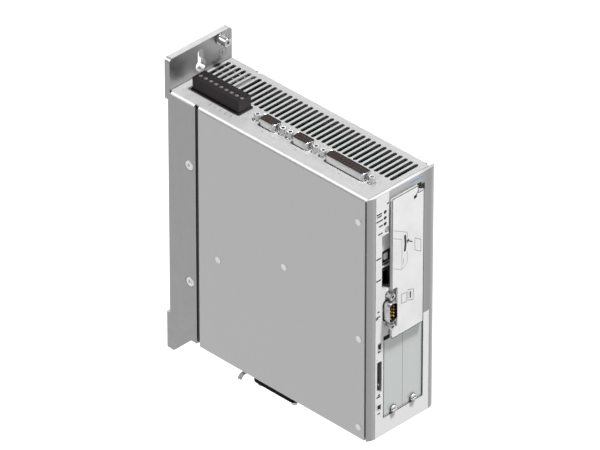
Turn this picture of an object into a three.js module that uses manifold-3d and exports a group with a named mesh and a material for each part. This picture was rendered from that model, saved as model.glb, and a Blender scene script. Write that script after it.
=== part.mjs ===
// Servo drive: a wall-mounted motor controller in a sheet-metal housing on a finned heat sink.
// Millimetres. +Z is up, +Y points into the wall, the front faces -Y and +X is on its right.
// The origin lies on the mounting face, on the centre line of the straps, level with the
// housing's underside.
import * as THREE from "three";
import { mergeVertices } from "three/addons/utils/BufferGeometryUtils.js";
import Module from "manifold-3d";

const wasm = await Module();
wasm.setup();

// ---------------------------------------------------------------- driving dimensions

// Housing
const HOUSING_WIDTH = 63;
const HOUSING_HEIGHT = 202;
const DEPTH = 201; // front face to mounting face
const SHEET = 1.2;
const ROLLED_EDGE = 2; // outer radius of the top sheet's side edges
const EDGE_NOTCH_REAR = 1.8; // where the rolled edge stops before the strap, on the left
const EDGE_NOTCH_FRONT = 3.4; // where it stops behind the front plate, on the right
const FIT = 0.3; // clearance between neighbouring pieces

// Front plate
const FRONT_THICK = 2.7;
const FRONT_EDGE_RADIUS = 9.2;
const FRONT_OVERHANG_LEFT = 0.2;
const FRONT_OVERHANG_RIGHT = 2.8;
const FRONT_SHADOW_GAP = 1.8; // between the front plate and the side covers

// Heat sink and its mounting straps
const STRAP_INSET = 1; // strap edge behind the housing's side, on each side
const STRAP_THICK = 4.9;
const STRAP_RISE = 25.4; // above the housing
const STRAP_DROP = 18.8; // below the housing
const STRAP_CORNER = 3;
const PAD_HEIGHT_TOP = 33.4; // flat pad that meets the wall, from the strap's end
const PAD_HEIGHT_BOTTOM = 32.6;
const BACK_RELIEF = 3;
const SINK_DEPTH = 30; // depth of the heat sink's side walls
const SINK_WALL = 3.5;
const SINK_WEB = 2; // wall in front of the air channels
const SINK_BASE = 5; // plate that carries the power module
const COVER_GROOVE = 3.9; // between side cover and heat-sink wall
const FIN_THICK = 1.6;
const CHANNEL_WIDTH = 4.6;
const KEYHOLE_RADIUS = 4.9;
const KEYHOLE_SLOT_RADIUS = 2.8;
const KEYHOLE_FROM_HOUSING = 7;
const KEYHOLE_SLOT_LENGTH = 10.6;
const FOOT_SLOT_DEPTH = 9;

// Vents
const VENT_PITCH = 5.08;
const VENT_WIDTH = 3.1;
const VENT_FROM_LEFT = 29.1;
const VENT_FROM_RIGHT = 6.6;
const VENT_FROM_FRONT = 9;
const VENT_FROM_REAR = 4;

// Connector row on the board's port line
const PORT_FROM_LEFT = 18.2; // x of every connector axis, from the housing's left side
const FIRST_PORT_FROM_FRONT = 12.55;
const PORT_GAP = 1.25;
const BOARD_THICK = 1.6;
const BOARD_FROM_LEFT = 10.2;
const BOARD_FROM_FRONT = 9;
const BOARD_END_MARGIN = 9.5; // board edge to the housing's top
const BOARD_UP = 13.5; // board edge to the housing's underside
const BOARD_FROM_SINK = 6;

// D-shaped data connectors
const DSUB_FLANGE_HEIGHT = 12.5;
const DSUB_FLANGE_THICK = 0.8;
const DSUB_SHELL_WALL = 0.5;
const DSUB_SHELL_HEIGHT = 8.3;
const DSUB_SHELL_RISE = 5.8; // above the outer face of the sheet
const DSUB_CORNER = 2.4;
const DSUB_SLANT = THREE.MathUtils.degToRad(10);
const DSUB_BODY_DEPTH = 5;
const DSUB_BODY_MARGIN = 1.2; // body behind the flange, round the D
const DSUB_FLANGE_CORNER = 1.5;
const DSUB_FACE_SETBACK = 0.2; // socket face below the shell's rim
const DSUB_FLOOR = 1.6; // floor between the pins, above the body
const DSUB_CONTACT_RADIUS = 0.5;
const DSUB_CONTACT_DEPTH = 3;
const DSUB_PIN_PITCH = 2.77;
const DSUB_ROW_PITCH = 2.84;
const DSUB_SIZES = {
  nine: { poles: 9, shell: 16.9, flange: 30.8, screws: 25 },
  fifteen: { poles: 15, shell: 25.2, flange: 39.2, screws: 33.3 },
  twentyFive: { poles: 25, shell: 38.9, flange: 53.04, screws: 47 },
};
const JACK_FLATS = 4.8;
const JACK_RISE = 5;
const JACK_LABEL_CLEARANCE = 0.8;
const JACK_SHANK_RADIUS = 1.35;
const JACK_HOLE_RADIUS = 1.75;
const JACK_THREAD_RADIUS = 1.25;
const JACK_THREAD_DEPTH = 3.8;

// Supply terminal on the top, motor terminal underneath
const TERMINAL_POLES = 9;
const TERMINAL_PITCH = 5.08;
const TERMINAL_WIDTH = 12.2;
const TERMINAL_RISE = 10.6;
const TERMINAL_FROM_LEFT = 13.1;
const TERMINAL_FROM_STRAP = 10.2;
const TERMINAL_COLLAR = 1.2; // flange that stands proud round the plug
const TERMINAL_COLLAR_THICK = 1;
const TERMINAL_WALL = 1.6;
const TERMINAL_BODY_DEPTH = 9;
const TERMINAL_SPIGOT = 5;
const TERMINAL_POCKET_CLEARANCE = 1;
const WIRE_WELL = 3.6;
const WIRE_WELL_DEPTH = 5;
const WIRE_WELL_FROM_EDGE = 5.9;
const MOTOR_PLUG_LENGTH = 42.5;
const MOTOR_PLUG_WIDTH = 10;
const MOTOR_PLUG_DROP = 11.4;
const MOTOR_PLUG_FROM_LEFT = 7.6;
const MOTOR_PLUG_FROM_FRONT = 80.6;
const MOTOR_SCREW_SPACING = 33.2;
const MOTOR_SCREW_RADIUS = 2.4;
const MOTOR_SCREW_DROP = 3.4;
const MOTOR_SCREW_SHANK = 1.5;
const MOTOR_SCREW_HOLE = 4;
const MOTOR_SCREW_SLOT = 0.8;
const MOTOR_PLUG_CORNER = 3;
const MOTOR_PLUG_ROOT = 8; // above the bottom sheet
const CLIP_FROM_LEFT = 14;
const CLIP_TIP_FROM_LEFT = 3.2;
const CLIP_FROM_FRONT = 131;
const CLIP_WIDTH = 3.2;
const CLIP_DROP = 9;
const CLIP_THICK = 0.8;

// Windows of the front plate; heights are from the housing's top or underside
const PORT_WINDOW_LEFT = 12.2;
const PORT_WINDOW_WIDTH = 10.6;
const PORT_WINDOW_FROM_TOP = 34.4;
const PORT_WINDOW_HEIGHT = 45.1;
const USB_FROM_TOP = 55.3;
const RJ45_FROM_TOP = 72.3;
const PORT_BEZEL_THICK = 0.8;
const FRONT_DSUB_FROM_TOP = 97.7;
const PORT_MOUTH_LEFT = -2.3; // from the port line
const PORT_MOUTH_WIDTH = 7.8;
const PORT_BEZEL_OVERLAP = 0.5; // behind the plate, round the window
const SOCKET_RIGHT = 7.4; // right side of both sockets, from the port line
const USB_MOUTH_HEIGHT = 8.4;
const USB_MOUTH_DEPTH = 13;
const USB_DEPTH = 16;
const USB_WALL = 1.8;
const USB_TONGUE = { width: 3.2, height: 5.6, setback: 0.6 };
const RJ45_MOUTH_HEIGHT = 12.2;
const RJ45_MOUTH_DEPTH = 13;
const RJ45_DEPTH = 18;
const RJ45_WALL = 1.9;
const FRONT_DSUB_CLEARANCE = 1.2;
const TOP_DSUB_CLEARANCE = 0.5;
const OPTION_WINDOW_LEFT = 14.1;
const OPTION_WINDOW_RIGHT = 9.8;
const OPTION_WINDOW_BOTTOM = 14.7;
const OPTION_WINDOW_HEIGHT = 68.3;
const OPTION_LEDGE = 7.3;
const BLANK_SETBACK = 0.4;
const BLANK_THICK = 1.2;
const BLANK_HEIGHT = 63.9;
const BLANK_SCREW_UP = 3.4;
const BLANK_SCREW_HOLE = 1.6;
const BLANK_SCREW_HEAD = { radius: 2.6, height: 1.9, slot: 0.7 };
const BLANK_SCREW_SHANK = 1.3;
const BLANK_SCREW_REACH = 3; // tip behind the front plate
const MODULE_WINDOW_LEFT = 26.2;
const MODULE_WINDOW_RIGHT = 12.4;
const MODULE_WINDOW_ABOVE_OPTION = 5;
const MODULE_WINDOW_FROM_TOP = 7;

// Clip-on cover over the module slot
const COVER_LEFT = 19.7;
const COVER_RIGHT = 12;
const COVER_FROM_TOP = 6.5;
const COVER_BELOW_OPTION_TOP = 3.5;
const COVER_STANDOFF = 0.6;
const COVER_THICK = 1.8;
const COVER_CORNER = 1.5;
const COVER_NOTCH = 5.8;
const COVER_RIM_THICK = 1.4;
const COVER_RIM_DEPTH = 4;
const COVER_RIM_GAP = 0.4; // rim to the edge of the module window
const COVER_PORT_BAY = 5.7; // depth of the bay that clears the front D-shaped connector
const COVER_PORT_BAY_HEIGHT = 33;

// Foil label
const LABEL_THICK = 0.25;
const LABEL_GAP = 0.05;
const LABEL_MARGIN = 0.2; // setback from the plate's windows
const LABEL_LEFT = 6;
const LABEL_STRIP_WIDTH = 12.6;
const LABEL_RIGHT = 4;
const LABEL_ABOVE_OPTION = 1;

// Lamps, reset button and small switches
const LED_FROM_LEFT = 14.9;
const LED_FROM_TOP = 15.2;
const LED_PITCH = 4.85;
const LED_RADIUS = 1.15;
const LED_COUNT = 3;
const LED_PROUD = 0.4; // above the front face
const LED_BAR = { half: 1.4, depth: 2.5, overhang: 1.8 };
const RESET_FROM_LEFT = 16.9;
const RESET_FROM_TOP = 30.5;
const RESET_RADIUS = 1.95;
const RESET_TRAVEL = 0.8;
const RESET_COLLAR_RADIUS = 2.9;
const RESET_PROUD = 0.2;
const RESET_STEM = { radius: 1, reach: 2.6 };
const RESET_SWITCH = { reach: 7.5, depth: 5, half: 3 };
const SWITCH_FROM_LEFT = 10.1;
const SWITCH_WINDOW_WIDTH = 3.2;
const TERMINATOR_UP = 76.5;
const TERMINATOR_WINDOW_HEIGHT = 5;
const BOOT_UP = 25.3;
const BOOT_WINDOW_HEIGHT = 4.2;
const SLIDER_WIDTH = 1.8;
const SLIDER_HEIGHT = 1.8;
const SLIDER_END_PLAY = 0.4;
const SLIDER_PROUD = 1.5; // in front of the switch body
const SLIDER_ROOT = 2.2;
const SWITCH_BODY = { half: 2.4, depth: 4.6, overhang: 1.2 };
const SWITCH_WELL = { half: 1.3, depth: 2.6 };
const CARD_UP = 51;
const CARD_SLOT_LENGTH = 25.6;
const CARD_SLOT_WIDTH = 4.2;
const CARD_SOCKET_DEPTH = 27;
const CARD_CASE_WALL = 0.8;
const CARD_GAP = 2.6; // thickness of the slot inside the case

// Fasteners
const STRIP_SCREW_FROM_WALL = 23.5;
const STRIP_SCREW_HEIGHTS = { upper: 148.2, lower: 49.9 };
const STRIP_SCREW_RADIUS = 3.9;
const STRIP_SCREW_HEAD = 1.1;
const STRIP_SCREW_SHANK = 1.5;
const STRIP_SCREW_SOCKET = 2.8;
const COVER_STUDS = [
  [148.2, 83.1],
  [82.9, 108.5],
  [11, 180],
  [10, 83.3],
  [10, 8.9],
]; // [from the front face, up]
const COVER_STUD_RADIUS = 2.7;
const COVER_STUD_PROUD = 0.25;
const EARTH_SCREW_FROM_CENTRE = 18.6;
const EARTH_SCREW_ABOVE_HOUSING = 21;
const EARTH_WASHER_RADIUS = 4.2;
const EARTH_WASHER_THICK = 0.9;
const EARTH_NUT_FLATS = 7;
const EARTH_NUT_THICK = 3;
const EARTH_HEAD_RADIUS = 3;
const EARTH_SCREW_REACH = 8.4; // head's face to the strap's face
const EARTH_THREAD_RADIUS = 1.9;

// Parts inside
const FAN_SIZE = 40;
const FAN_THICK = 10;
const FAN_HUB_RADIUS = 7.6;
const FAN_TIP_RADIUS = 17.8;
const FAN_BLADES = 7;
const FAN_FROM_SINK = 4;
const FAN_FROM_RIGHT = 3.2;
const FAN_PIN_RADIUS = 1.5;
const FAN_PIN_SHORT = 2.5; // pin's end below the frame's upper face
const FAN_FLOOR = 1.2; // bearing plate and struts
const FAN_STRUT_WIDTH = 2.2;
const FAN_STRUTS = 3;
const FAN_PLAY = 0.4; // rotor to bearing plate and to the upper face
const FAN_TIP_GAP = 0.8;
const FAN_BORE_GAP = 0.12;
const FAN_BORE_SHORT = 1.6; // closed end of the hub
const FAN_BLADE = { chord: 8.4, thick: 0.9, pitch: THREE.MathUtils.degToRad(38) };
const POWER_BOARD_FROM_RIGHT = 6.6;
const POWER_BOARD_FROM_FRONT = 13;
const CAPACITOR_RADIUS = 12.5;
const CAPACITOR_LENGTH = 30;
const CAPACITOR_FROM_FRONT = 60;
const CAPACITOR_FROM_TOP = 42;
const CAPACITOR_PITCH = 30;
const CAPACITOR_FOOT = { length: 3, step: 0.8 };
const POWER_BOARD_UP = 16;
const CHOKE_UP = 58;
const CHOKE_CORE = { reach: 26, depth: 24, height: 36 };
const CHOKE_WINDING = { reach: 23, depth: 36, height: 22, gap: 3, corner: 4 };
const MODULE_BASE = { width: 34, bottom: 62, top: 132, thick: 3 };
const MODULE_CASE = { inset: 3, end: 8, thick: 8 };
const SPACER_FROM_FRONT = 150;
const SPACER_FROM_END = 30;
const SPACER_FLATS_RADIUS = 2.5;

// ---------------------------------------------------------------- derived places

const LEFT = -HOUSING_WIDTH / 2;
const RIGHT = HOUSING_WIDTH / 2;
const TOP = HOUSING_HEIGHT;
const FRONT = -DEPTH;
const FRONT_BACK = FRONT + FRONT_THICK;
const BEHIND_FRONT = FRONT_BACK + FIT;
const BEHIND_BEZEL = BEHIND_FRONT + PORT_BEZEL_THICK + FIT;
const STRAP_WIDTH = HOUSING_WIDTH - 2 * STRAP_INSET;
const STRAP_FACE = -STRAP_THICK;
const SINK_FRONT = -SINK_DEPTH;
const SINK_FACE = SINK_FRONT - SINK_BASE; // face that carries the power module
const COVER_TOP = TOP - ROLLED_EDGE - FIT;
const COVER_REAR = SINK_FRONT - COVER_GROOVE;
const PORT_X = LEFT + PORT_FROM_LEFT;
const BOARD_X = LEFT + BOARD_FROM_LEFT;
const BOARD_FACE = BOARD_X + BOARD_THICK;
const OPTION_LEFT = LEFT + OPTION_WINDOW_LEFT;
const OPTION_RIGHT = RIGHT - OPTION_WINDOW_RIGHT;
const OPTION_TOP = OPTION_WINDOW_BOTTOM + OPTION_WINDOW_HEIGHT;
const FRONT_DSUB_Z = TOP - FRONT_DSUB_FROM_TOP;
const TERMINAL_LENGTH = TERMINAL_POLES * TERMINAL_PITCH;

// ---------------------------------------------------------------- finishes

const FINISH = {
  galvanised: { color: 0xb4b6b7, roughness: 0.42, metalness: 0.7 },
  aluminium: { color: 0x9c9e9f, roughness: 0.38, metalness: 0.85 },
  frontMetal: { color: 0xc2c5c5, roughness: 0.4, metalness: 0.55 },
  label: { color: 0xe6e6e6, roughness: 0.55, metalness: 0 },
  whiteCover: { color: 0xebebeb, roughness: 0.5, metalness: 0 },
  blankSheet: { color: 0xc3c8c6, roughness: 0.45, metalness: 0.4 },
  blackPlastic: { color: 0x2c292a, roughness: 0.5, metalness: 0 },
  nickel: { color: 0xcfd1d2, roughness: 0.2, metalness: 0.95 },
  zincSteel: { color: 0xa7a9aa, roughness: 0.3, metalness: 0.9 },
  insulator: { color: 0x2e2826, roughness: 0.6, metalness: 0 },
  lens: { color: 0x141414, roughness: 0.2, metalness: 0 },
  greyButton: { color: 0x9a9c9c, roughness: 0.5, metalness: 0 },
  circuitBoard: { color: 0x2f5e3b, roughness: 0.5, metalness: 0 },
  capacitorSleeve: { color: 0x23262b, roughness: 0.35, metalness: 0 },
};

// ---------------------------------------------------------------- geometry helpers

// Axes that an outline's x, y and extrusion direction turn to.
const EXTRUSION_FRAMES = {
  x: [new THREE.Vector3(0, 1, 0), new THREE.Vector3(0, 0, 1), new THREE.Vector3(1, 0, 0)],
  y: [new THREE.Vector3(1, 0, 0), new THREE.Vector3(0, 0, 1), new THREE.Vector3(0, -1, 0)],
  z: [new THREE.Vector3(1, 0, 0), new THREE.Vector3(0, 1, 0), new THREE.Vector3(0, 0, 1)],
};

/** A closed three.js geometry as a solid that can be joined and cut. */
function solidOf(geometry) {
  const bare = geometry.clone();
  bare.deleteAttribute("normal");
  bare.deleteAttribute("uv");
  const merged = mergeVertices(bare, 1e-4);
  return new wasm.Manifold(
    new wasm.Mesh({
      numProp: 3,
      vertProperties: new Float32Array(merged.attributes.position.array),
      triVerts: new Uint32Array(merged.index.array),
    }),
  );
}

/** The geometry of a joined or cut solid. */
function geometryOf(solid) {
  const mesh = solid.getMesh();
  const geometry = new THREE.BufferGeometry();
  geometry.setAttribute("position", new THREE.BufferAttribute(mesh.vertProperties, 3));
  geometry.setIndex(new THREE.BufferAttribute(mesh.triVerts, 1));
  geometry.computeVertexNormals();
  return geometry;
}

/** An outline extruded along an axis between two places, optionally moved to a local frame. */
function prism(shape, axis, from, to, { steps = 3, frame = null } = {}) {
  const geometry = new THREE.ExtrudeGeometry(shape, {
    depth: to - from,
    bevelEnabled: false,
    curveSegments: steps,
  });
  geometry.translate(0, 0, axis === "y" ? -to : from);
  geometry.applyMatrix4(new THREE.Matrix4().makeBasis(...EXTRUSION_FRAMES[axis]));
  if (frame) geometry.applyMatrix4(frame);
  return solidOf(geometry);
}

/** A box between two corners. */
function box(x0, x1, y0, y1, z0, z1) {
  const geometry = new THREE.BoxGeometry(x1 - x0, y1 - y0, z1 - z0);
  geometry.translate((x0 + x1) / 2, (y0 + y1) / 2, (z0 + z1) / 2);
  return solidOf(geometry);
}

/** A counter-clockwise outline through corners [x, y, radius], each rounded to its radius. */
function outline(corners, commonRadius = 0) {
  const shape = new THREE.Shape();
  corners.forEach(([x, y, radius = commonRadius], index) => {
    const corner = new THREE.Vector2(x, y);
    if (!radius) {
      if (index) shape.lineTo(x, y);
      else shape.moveTo(x, y);
      return;
    }
    const [beforeX, beforeY] = corners.at(index - 1);
    const [afterX, afterY] = corners[(index + 1) % corners.length];
    const before = new THREE.Vector2(beforeX, beforeY).sub(corner).normalize();
    const after = new THREE.Vector2(afterX, afterY).sub(corner).normalize();
    const half = Math.acos(THREE.MathUtils.clamp(before.dot(after), -1, 1)) / 2;
    const inward = before.clone().add(after).normalize();
    const centre = corner.clone().addScaledVector(inward, radius / Math.sin(half));
    const reach = radius / Math.tan(half);
    const start = corner.clone().addScaledVector(before, reach).sub(centre);
    const end = corner.clone().addScaledVector(after, reach).sub(centre);
    const convex = before.cross(after) < 0;
    shape.absarc(centre.x, centre.y, radius, start.angle(), end.angle(), !convex);
  });
  return shape;
}

/** A rounded rectangle between two corners. */
function rectangle(x0, x1, y0, y1, radius = 0) {
  return outline([[x0, y0], [x1, y0], [x1, y1], [x0, y1]], radius);
}

/** A circle drawn with a given number of sides, or a regular polygon. */
function disc(x, y, radius, sides = 16, turn = 0) {
  const corners = Array.from({ length: sides }, (_, index) => {
    const angle = turn + (index * 2 * Math.PI) / sides;
    return new THREE.Vector2(x + radius * Math.cos(angle), y + radius * Math.sin(angle));
  });
  return new THREE.Shape(corners);
}

/** A hexagon across its flats. */
function hexagon(x, y, flats) {
  return disc(x, y, flats / Math.sqrt(3), 6);
}

/** A solid with several tools joined on. */
function join(solid, ...tools) {
  return tools.reduce((made, tool) => made.add(tool), solid);
}

/** A solid with several tools cut away. */
function cut(solid, ...tools) {
  return tools.reduce((made, tool) => made.subtract(tool), solid);
}

/** A named mesh with its own material. */
function part(name, solid, finish) {
  const mesh = new THREE.Mesh(geometryOf(solid), new THREE.MeshStandardMaterial(finish));
  mesh.name = name;
  return mesh;
}

// ---------------------------------------------------------------- D-shaped connectors

// Each connector is built in a local frame: x along its length, z out of the housing, with the
// wide side of the D towards +y, and its origin on the outer face of the sheet it looks through.

const topConnectors = layTopConnectors();

/** Frames of the connectors along the top, laid one after the other from the front. */
function layTopConnectors() {
  let start = FIRST_PORT_FROM_FRONT;
  return ["twentyFive", "nine", "nine"].map((size, index) => {
    const length = DSUB_SIZES[size].flange;
    const centre = start + length / 2;
    start += length + PORT_GAP;
    const frame = new THREE.Matrix4()
      .makeTranslation(PORT_X, FRONT + centre, TOP)
      .multiply(new THREE.Matrix4().makeRotationZ(-Math.PI / 2));
    const name = ["signal_port", "encoder_port", "resolver_port"][index];
    return { name, size, frame, panel: SHEET, socket: true };
  });
}

/** Frame of the field-bus connector, which looks out of the front plate. */
const frontConnector = {
  name: "bus_port",
  size: "nine",
  frame: new THREE.Matrix4()
    .makeTranslation(PORT_X, FRONT, FRONT_DSUB_Z)
    .multiply(new THREE.Matrix4().makeRotationX(Math.PI / 2))
    .multiply(new THREE.Matrix4().makeRotationZ(Math.PI / 2)),
  panel: FRONT_THICK,
  socket: false,
};

/** Frame of the feedback connector, which looks out of the underside. */
const bottomConnector = {
  name: "feedback_port",
  size: "fifteen",
  frame: new THREE.Matrix4()
    .makeTranslation(PORT_X, FRONT + FIRST_PORT_FROM_FRONT + DSUB_SIZES.fifteen.flange / 2, 0)
    .multiply(new THREE.Matrix4().makeRotationX(Math.PI))
    .multiply(new THREE.Matrix4().makeRotationZ(Math.PI / 2)),
  panel: SHEET,
  socket: true,
};

/** The D outline, grown or shrunk by an offset. */
function dOutline(size, offset = 0) {
  const half = DSUB_SIZES[size].shell / 2 + offset;
  const rise = DSUB_SHELL_HEIGHT / 2 + offset;
  const narrow = half - 2 * rise * Math.tan(DSUB_SLANT);
  return outline(
    [[-narrow, -rise], [narrow, -rise], [half, rise], [-half, rise]],
    DSUB_CORNER + offset,
  );
}

/** Cutters for the sheet a connector looks through: the D and the two screw holes. */
function connectorCutters({ size, frame, panel }, clearance) {
  const reach = { frame, steps: 2 };
  const hole = (side) => disc((side * DSUB_SIZES[size].screws) / 2, 0, JACK_HOLE_RADIUS, 12);
  return [
    prism(dOutline(size, clearance), "z", -panel - 1, 1, reach),
    prism(hole(-1), "z", -panel - 1, 1, reach),
    prism(hole(1), "z", -panel - 1, 1, reach),
  ];
}

/** Metal shell: a flange behind the sheet with a D-shaped collar standing out through it. */
function dsubShell(size, panel) {
  const { flange, screws } = DSUB_SIZES[size];
  const front = -panel - FIT;
  const plate = rectangle(
    -flange / 2,
    flange / 2,
    -DSUB_FLANGE_HEIGHT / 2,
    DSUB_FLANGE_HEIGHT / 2,
    DSUB_FLANGE_CORNER,
  );
  const collar = join(
    prism(plate, "z", front - DSUB_FLANGE_THICK, front),
    prism(dOutline(size), "z", front - DSUB_FLANGE_THICK, DSUB_SHELL_RISE),
  );
  const hole = (side) =>
    prism(disc((side * screws) / 2, 0, JACK_HOLE_RADIUS, 12), "z", front - 2, front + 1);
  const bore = prism(
    dOutline(size, -DSUB_SHELL_WALL),
    "z",
    front - DSUB_FLANGE_THICK - 1,
    DSUB_SHELL_RISE + 1,
  );
  return cut(collar, bore, hole(-1), hole(1));
}

/** Places of the contacts: the longer row lies on the wide side of the D. */
function contactPlaces(size) {
  const { poles } = DSUB_SIZES[size];
  const longRow = Math.ceil(poles / 2);
  return Array.from({ length: poles }, (_, index) => {
    const onLongRow = index < longRow;
    const count = onLongRow ? longRow : poles - longRow;
    const place = onLongRow ? index : index - longRow;
    return {
      x: (place - (count - 1) / 2) * DSUB_PIN_PITCH,
      y: (onLongRow ? 1 : -1) * (DSUB_ROW_PITCH / 2),
    };
  });
}

/** Plastic insert with its body behind the flange: a socket face with holes, or a floor with pins. */
function dsubInsert(size, panel, socket) {
  const { shell } = DSUB_SIZES[size];
  const rear = -panel - FIT - DSUB_FLANGE_THICK - FIT;
  const bodyHalf = shell / 2 + DSUB_BODY_MARGIN;
  const bodyRise = DSUB_SHELL_HEIGHT / 2 + DSUB_BODY_MARGIN;
  const face = socket ? DSUB_SHELL_RISE - DSUB_FACE_SETBACK : rear + DSUB_FLOOR;
  const insert = join(
    box(-bodyHalf, bodyHalf, -bodyRise, bodyRise, rear - DSUB_BODY_DEPTH, rear),
    prism(dOutline(size, -DSUB_SHELL_WALL - FIT / 2), "z", rear - 1, face),
  );
  const contacts = contactPlaces(size).map(({ x, y }) =>
    socket
      ? prism(disc(x, y, DSUB_CONTACT_RADIUS, 6), "z", face - DSUB_CONTACT_DEPTH, face + 1)
      : prism(disc(x, y, DSUB_CONTACT_RADIUS, 8), "z", rear, DSUB_SHELL_RISE - 1),
  );
  return socket ? cut(insert, ...contacts) : join(insert, ...contacts);
}

/** Hexagonal jackscrew that holds the flange to the sheet and takes the plug's screw. */
function jackScrew(x, panel) {
  const foot = FIT / 2;
  const body = join(
    prism(hexagon(x, 0, JACK_FLATS), "z", foot, JACK_RISE),
    prism(disc(x, 0, JACK_SHANK_RADIUS, 10), "z", -panel - DSUB_FLANGE_THICK - 2, foot + 1),
  );
  const thread = prism(
    disc(x, 0, JACK_THREAD_RADIUS, 10),
    "z",
    JACK_RISE - JACK_THREAD_DEPTH,
    JACK_RISE + 1,
  );
  return cut(body, thread);
}

/** One connector as a placed group: shell, insert and, where asked for, its two jackscrews. */
function dsubConnector({ name, size, frame, panel, socket }, withScrews) {
  const group = new THREE.Group();
  group.applyMatrix4(frame);
  group.add(part(`${name}_shell`, dsubShell(size, panel), FINISH.nickel));
  group.add(part(`${name}_insert`, dsubInsert(size, panel, socket), FINISH.insulator));
  if (withScrews) {
    const reach = DSUB_SIZES[size].screws / 2;
    group.add(part(`${name}_jackscrew_a`, jackScrew(-reach, panel), FINISH.nickel));
    group.add(part(`${name}_jackscrew_b`, jackScrew(reach, panel), FINISH.nickel));
  }
  return group;
}

// ---------------------------------------------------------------- heat sink

/** Keyhole cutter: a round hole with a narrow slot rising from it. */
function keyhole() {
  const z = TOP + KEYHOLE_FROM_HOUSING;
  const slotTop = z + KEYHOLE_SLOT_LENGTH + KEYHOLE_SLOT_RADIUS;
  const slot = rectangle(
    -KEYHOLE_SLOT_RADIUS,
    KEYHOLE_SLOT_RADIUS,
    z,
    slotTop,
    KEYHOLE_SLOT_RADIUS - 0.1,
  );
  return join(
    prism(disc(0, z, KEYHOLE_RADIUS, 24), "y", STRAP_FACE - 1, 1),
    prism(slot, "y", STRAP_FACE - 1, 1),
  );
}

/** Open slot in the lower strap. */
function footSlot() {
  const slot = rectangle(
    -KEYHOLE_SLOT_RADIUS,
    KEYHOLE_SLOT_RADIUS,
    -STRAP_DROP - FOOT_SLOT_DEPTH,
    -STRAP_DROP + FOOT_SLOT_DEPTH,
    KEYHOLE_SLOT_RADIUS - 0.1,
  );
  return prism(slot, "y", STRAP_FACE - 1, 1);
}

/** Cutters for the air channels, spread evenly between the side walls. */
function airChannels() {
  const room = STRAP_WIDTH - 2 * SINK_WALL;
  const count = Math.floor((room + FIN_THICK) / (CHANNEL_WIDTH + FIN_THICK));
  const pitch = (room + FIN_THICK) / count;
  return Array.from({ length: count }, (_, index) => {
    const start = -room / 2 + index * pitch;
    return box(
      start,
      start + pitch - FIN_THICK,
      SINK_FRONT + SINK_WEB,
      STRAP_FACE,
      -1,
      COVER_TOP + 1,
    );
  });
}

/** Pocket in the heat sink's top that clears the supply terminal's header. */
function terminalPocket() {
  const x = LEFT + TERMINAL_FROM_LEFT;
  return box(
    x - TERMINAL_POCKET_CLEARANCE,
    x + TERMINAL_WIDTH + TERMINAL_POCKET_CLEARANCE,
    SINK_FACE - 1,
    STRAP_FACE - TERMINAL_FROM_STRAP + TERMINAL_POCKET_CLEARANCE,
    TOP - TERMINAL_BODY_DEPTH - TERMINAL_POCKET_CLEARANCE,
    TOP,
  );
}

/** Counterbore and hole for a screw in the heat sink's left wall. */
function stripScrewHole(z) {
  const face = -STRAP_WIDTH / 2;
  return join(
    prism(
      disc(-STRIP_SCREW_FROM_WALL, z, STRIP_SCREW_RADIUS + FIT, 16),
      "x",
      face - 1,
      face + STRIP_SCREW_HEAD + FIT,
    ),
    prism(
      disc(-STRIP_SCREW_FROM_WALL, z, STRIP_SCREW_SHANK + FIT, 10),
      "x",
      face,
      face + SINK_WALL + 1,
    ),
  );
}

/** Extruded heat sink with its mounting straps, back relief and base for the power module. */
function heatSink() {
  const half = STRAP_WIDTH / 2;
  const strapTop = TOP + STRAP_RISE;
  const baseHalf = half - SINK_WALL + FIT;
  const body = box(-half, half, SINK_FRONT, -BACK_RELIEF, 0, COVER_TOP);
  const base = box(-baseHalf, baseHalf, SINK_FACE, SINK_FRONT + 1, 0, COVER_TOP);
  const strap = prism(
    rectangle(-half, half, -STRAP_DROP, strapTop, STRAP_CORNER),
    "y",
    STRAP_FACE,
    0,
  );
  const relief = box(
    -half - 1,
    half + 1,
    -BACK_RELIEF,
    1,
    PAD_HEIGHT_BOTTOM - STRAP_DROP,
    strapTop - PAD_HEIGHT_TOP,
  );
  const earthHole = prism(
    disc(EARTH_SCREW_FROM_CENTRE, TOP + EARTH_SCREW_ABOVE_HOUSING, EARTH_THREAD_RADIUS + FIT, 12),
    "y",
    STRAP_FACE - 1,
    1,
  );
  return cut(
    join(body, base, strap),
    relief,
    keyhole(),
    footSlot(),
    terminalPocket(),
    earthHole,
    ...airChannels(),
    ...Object.values(STRIP_SCREW_HEIGHTS).map(stripScrewHole),
  );
}

/** Countersunk screw in the heat sink's left wall, with a hexagon socket. */
function stripScrew(z) {
  const face = -STRAP_WIDTH / 2;
  const y = -STRIP_SCREW_FROM_WALL;
  return cut(
    join(
      prism(disc(y, z, STRIP_SCREW_RADIUS, 16), "x", face, face + STRIP_SCREW_HEAD),
      prism(disc(y, z, STRIP_SCREW_SHANK, 10), "x", face + STRIP_SCREW_HEAD / 2, face + SINK_WALL),
    ),
    prism(hexagon(y, z, STRIP_SCREW_SOCKET), "x", face - 1, face + STRIP_SCREW_HEAD - 0.2),
  );
}

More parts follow.
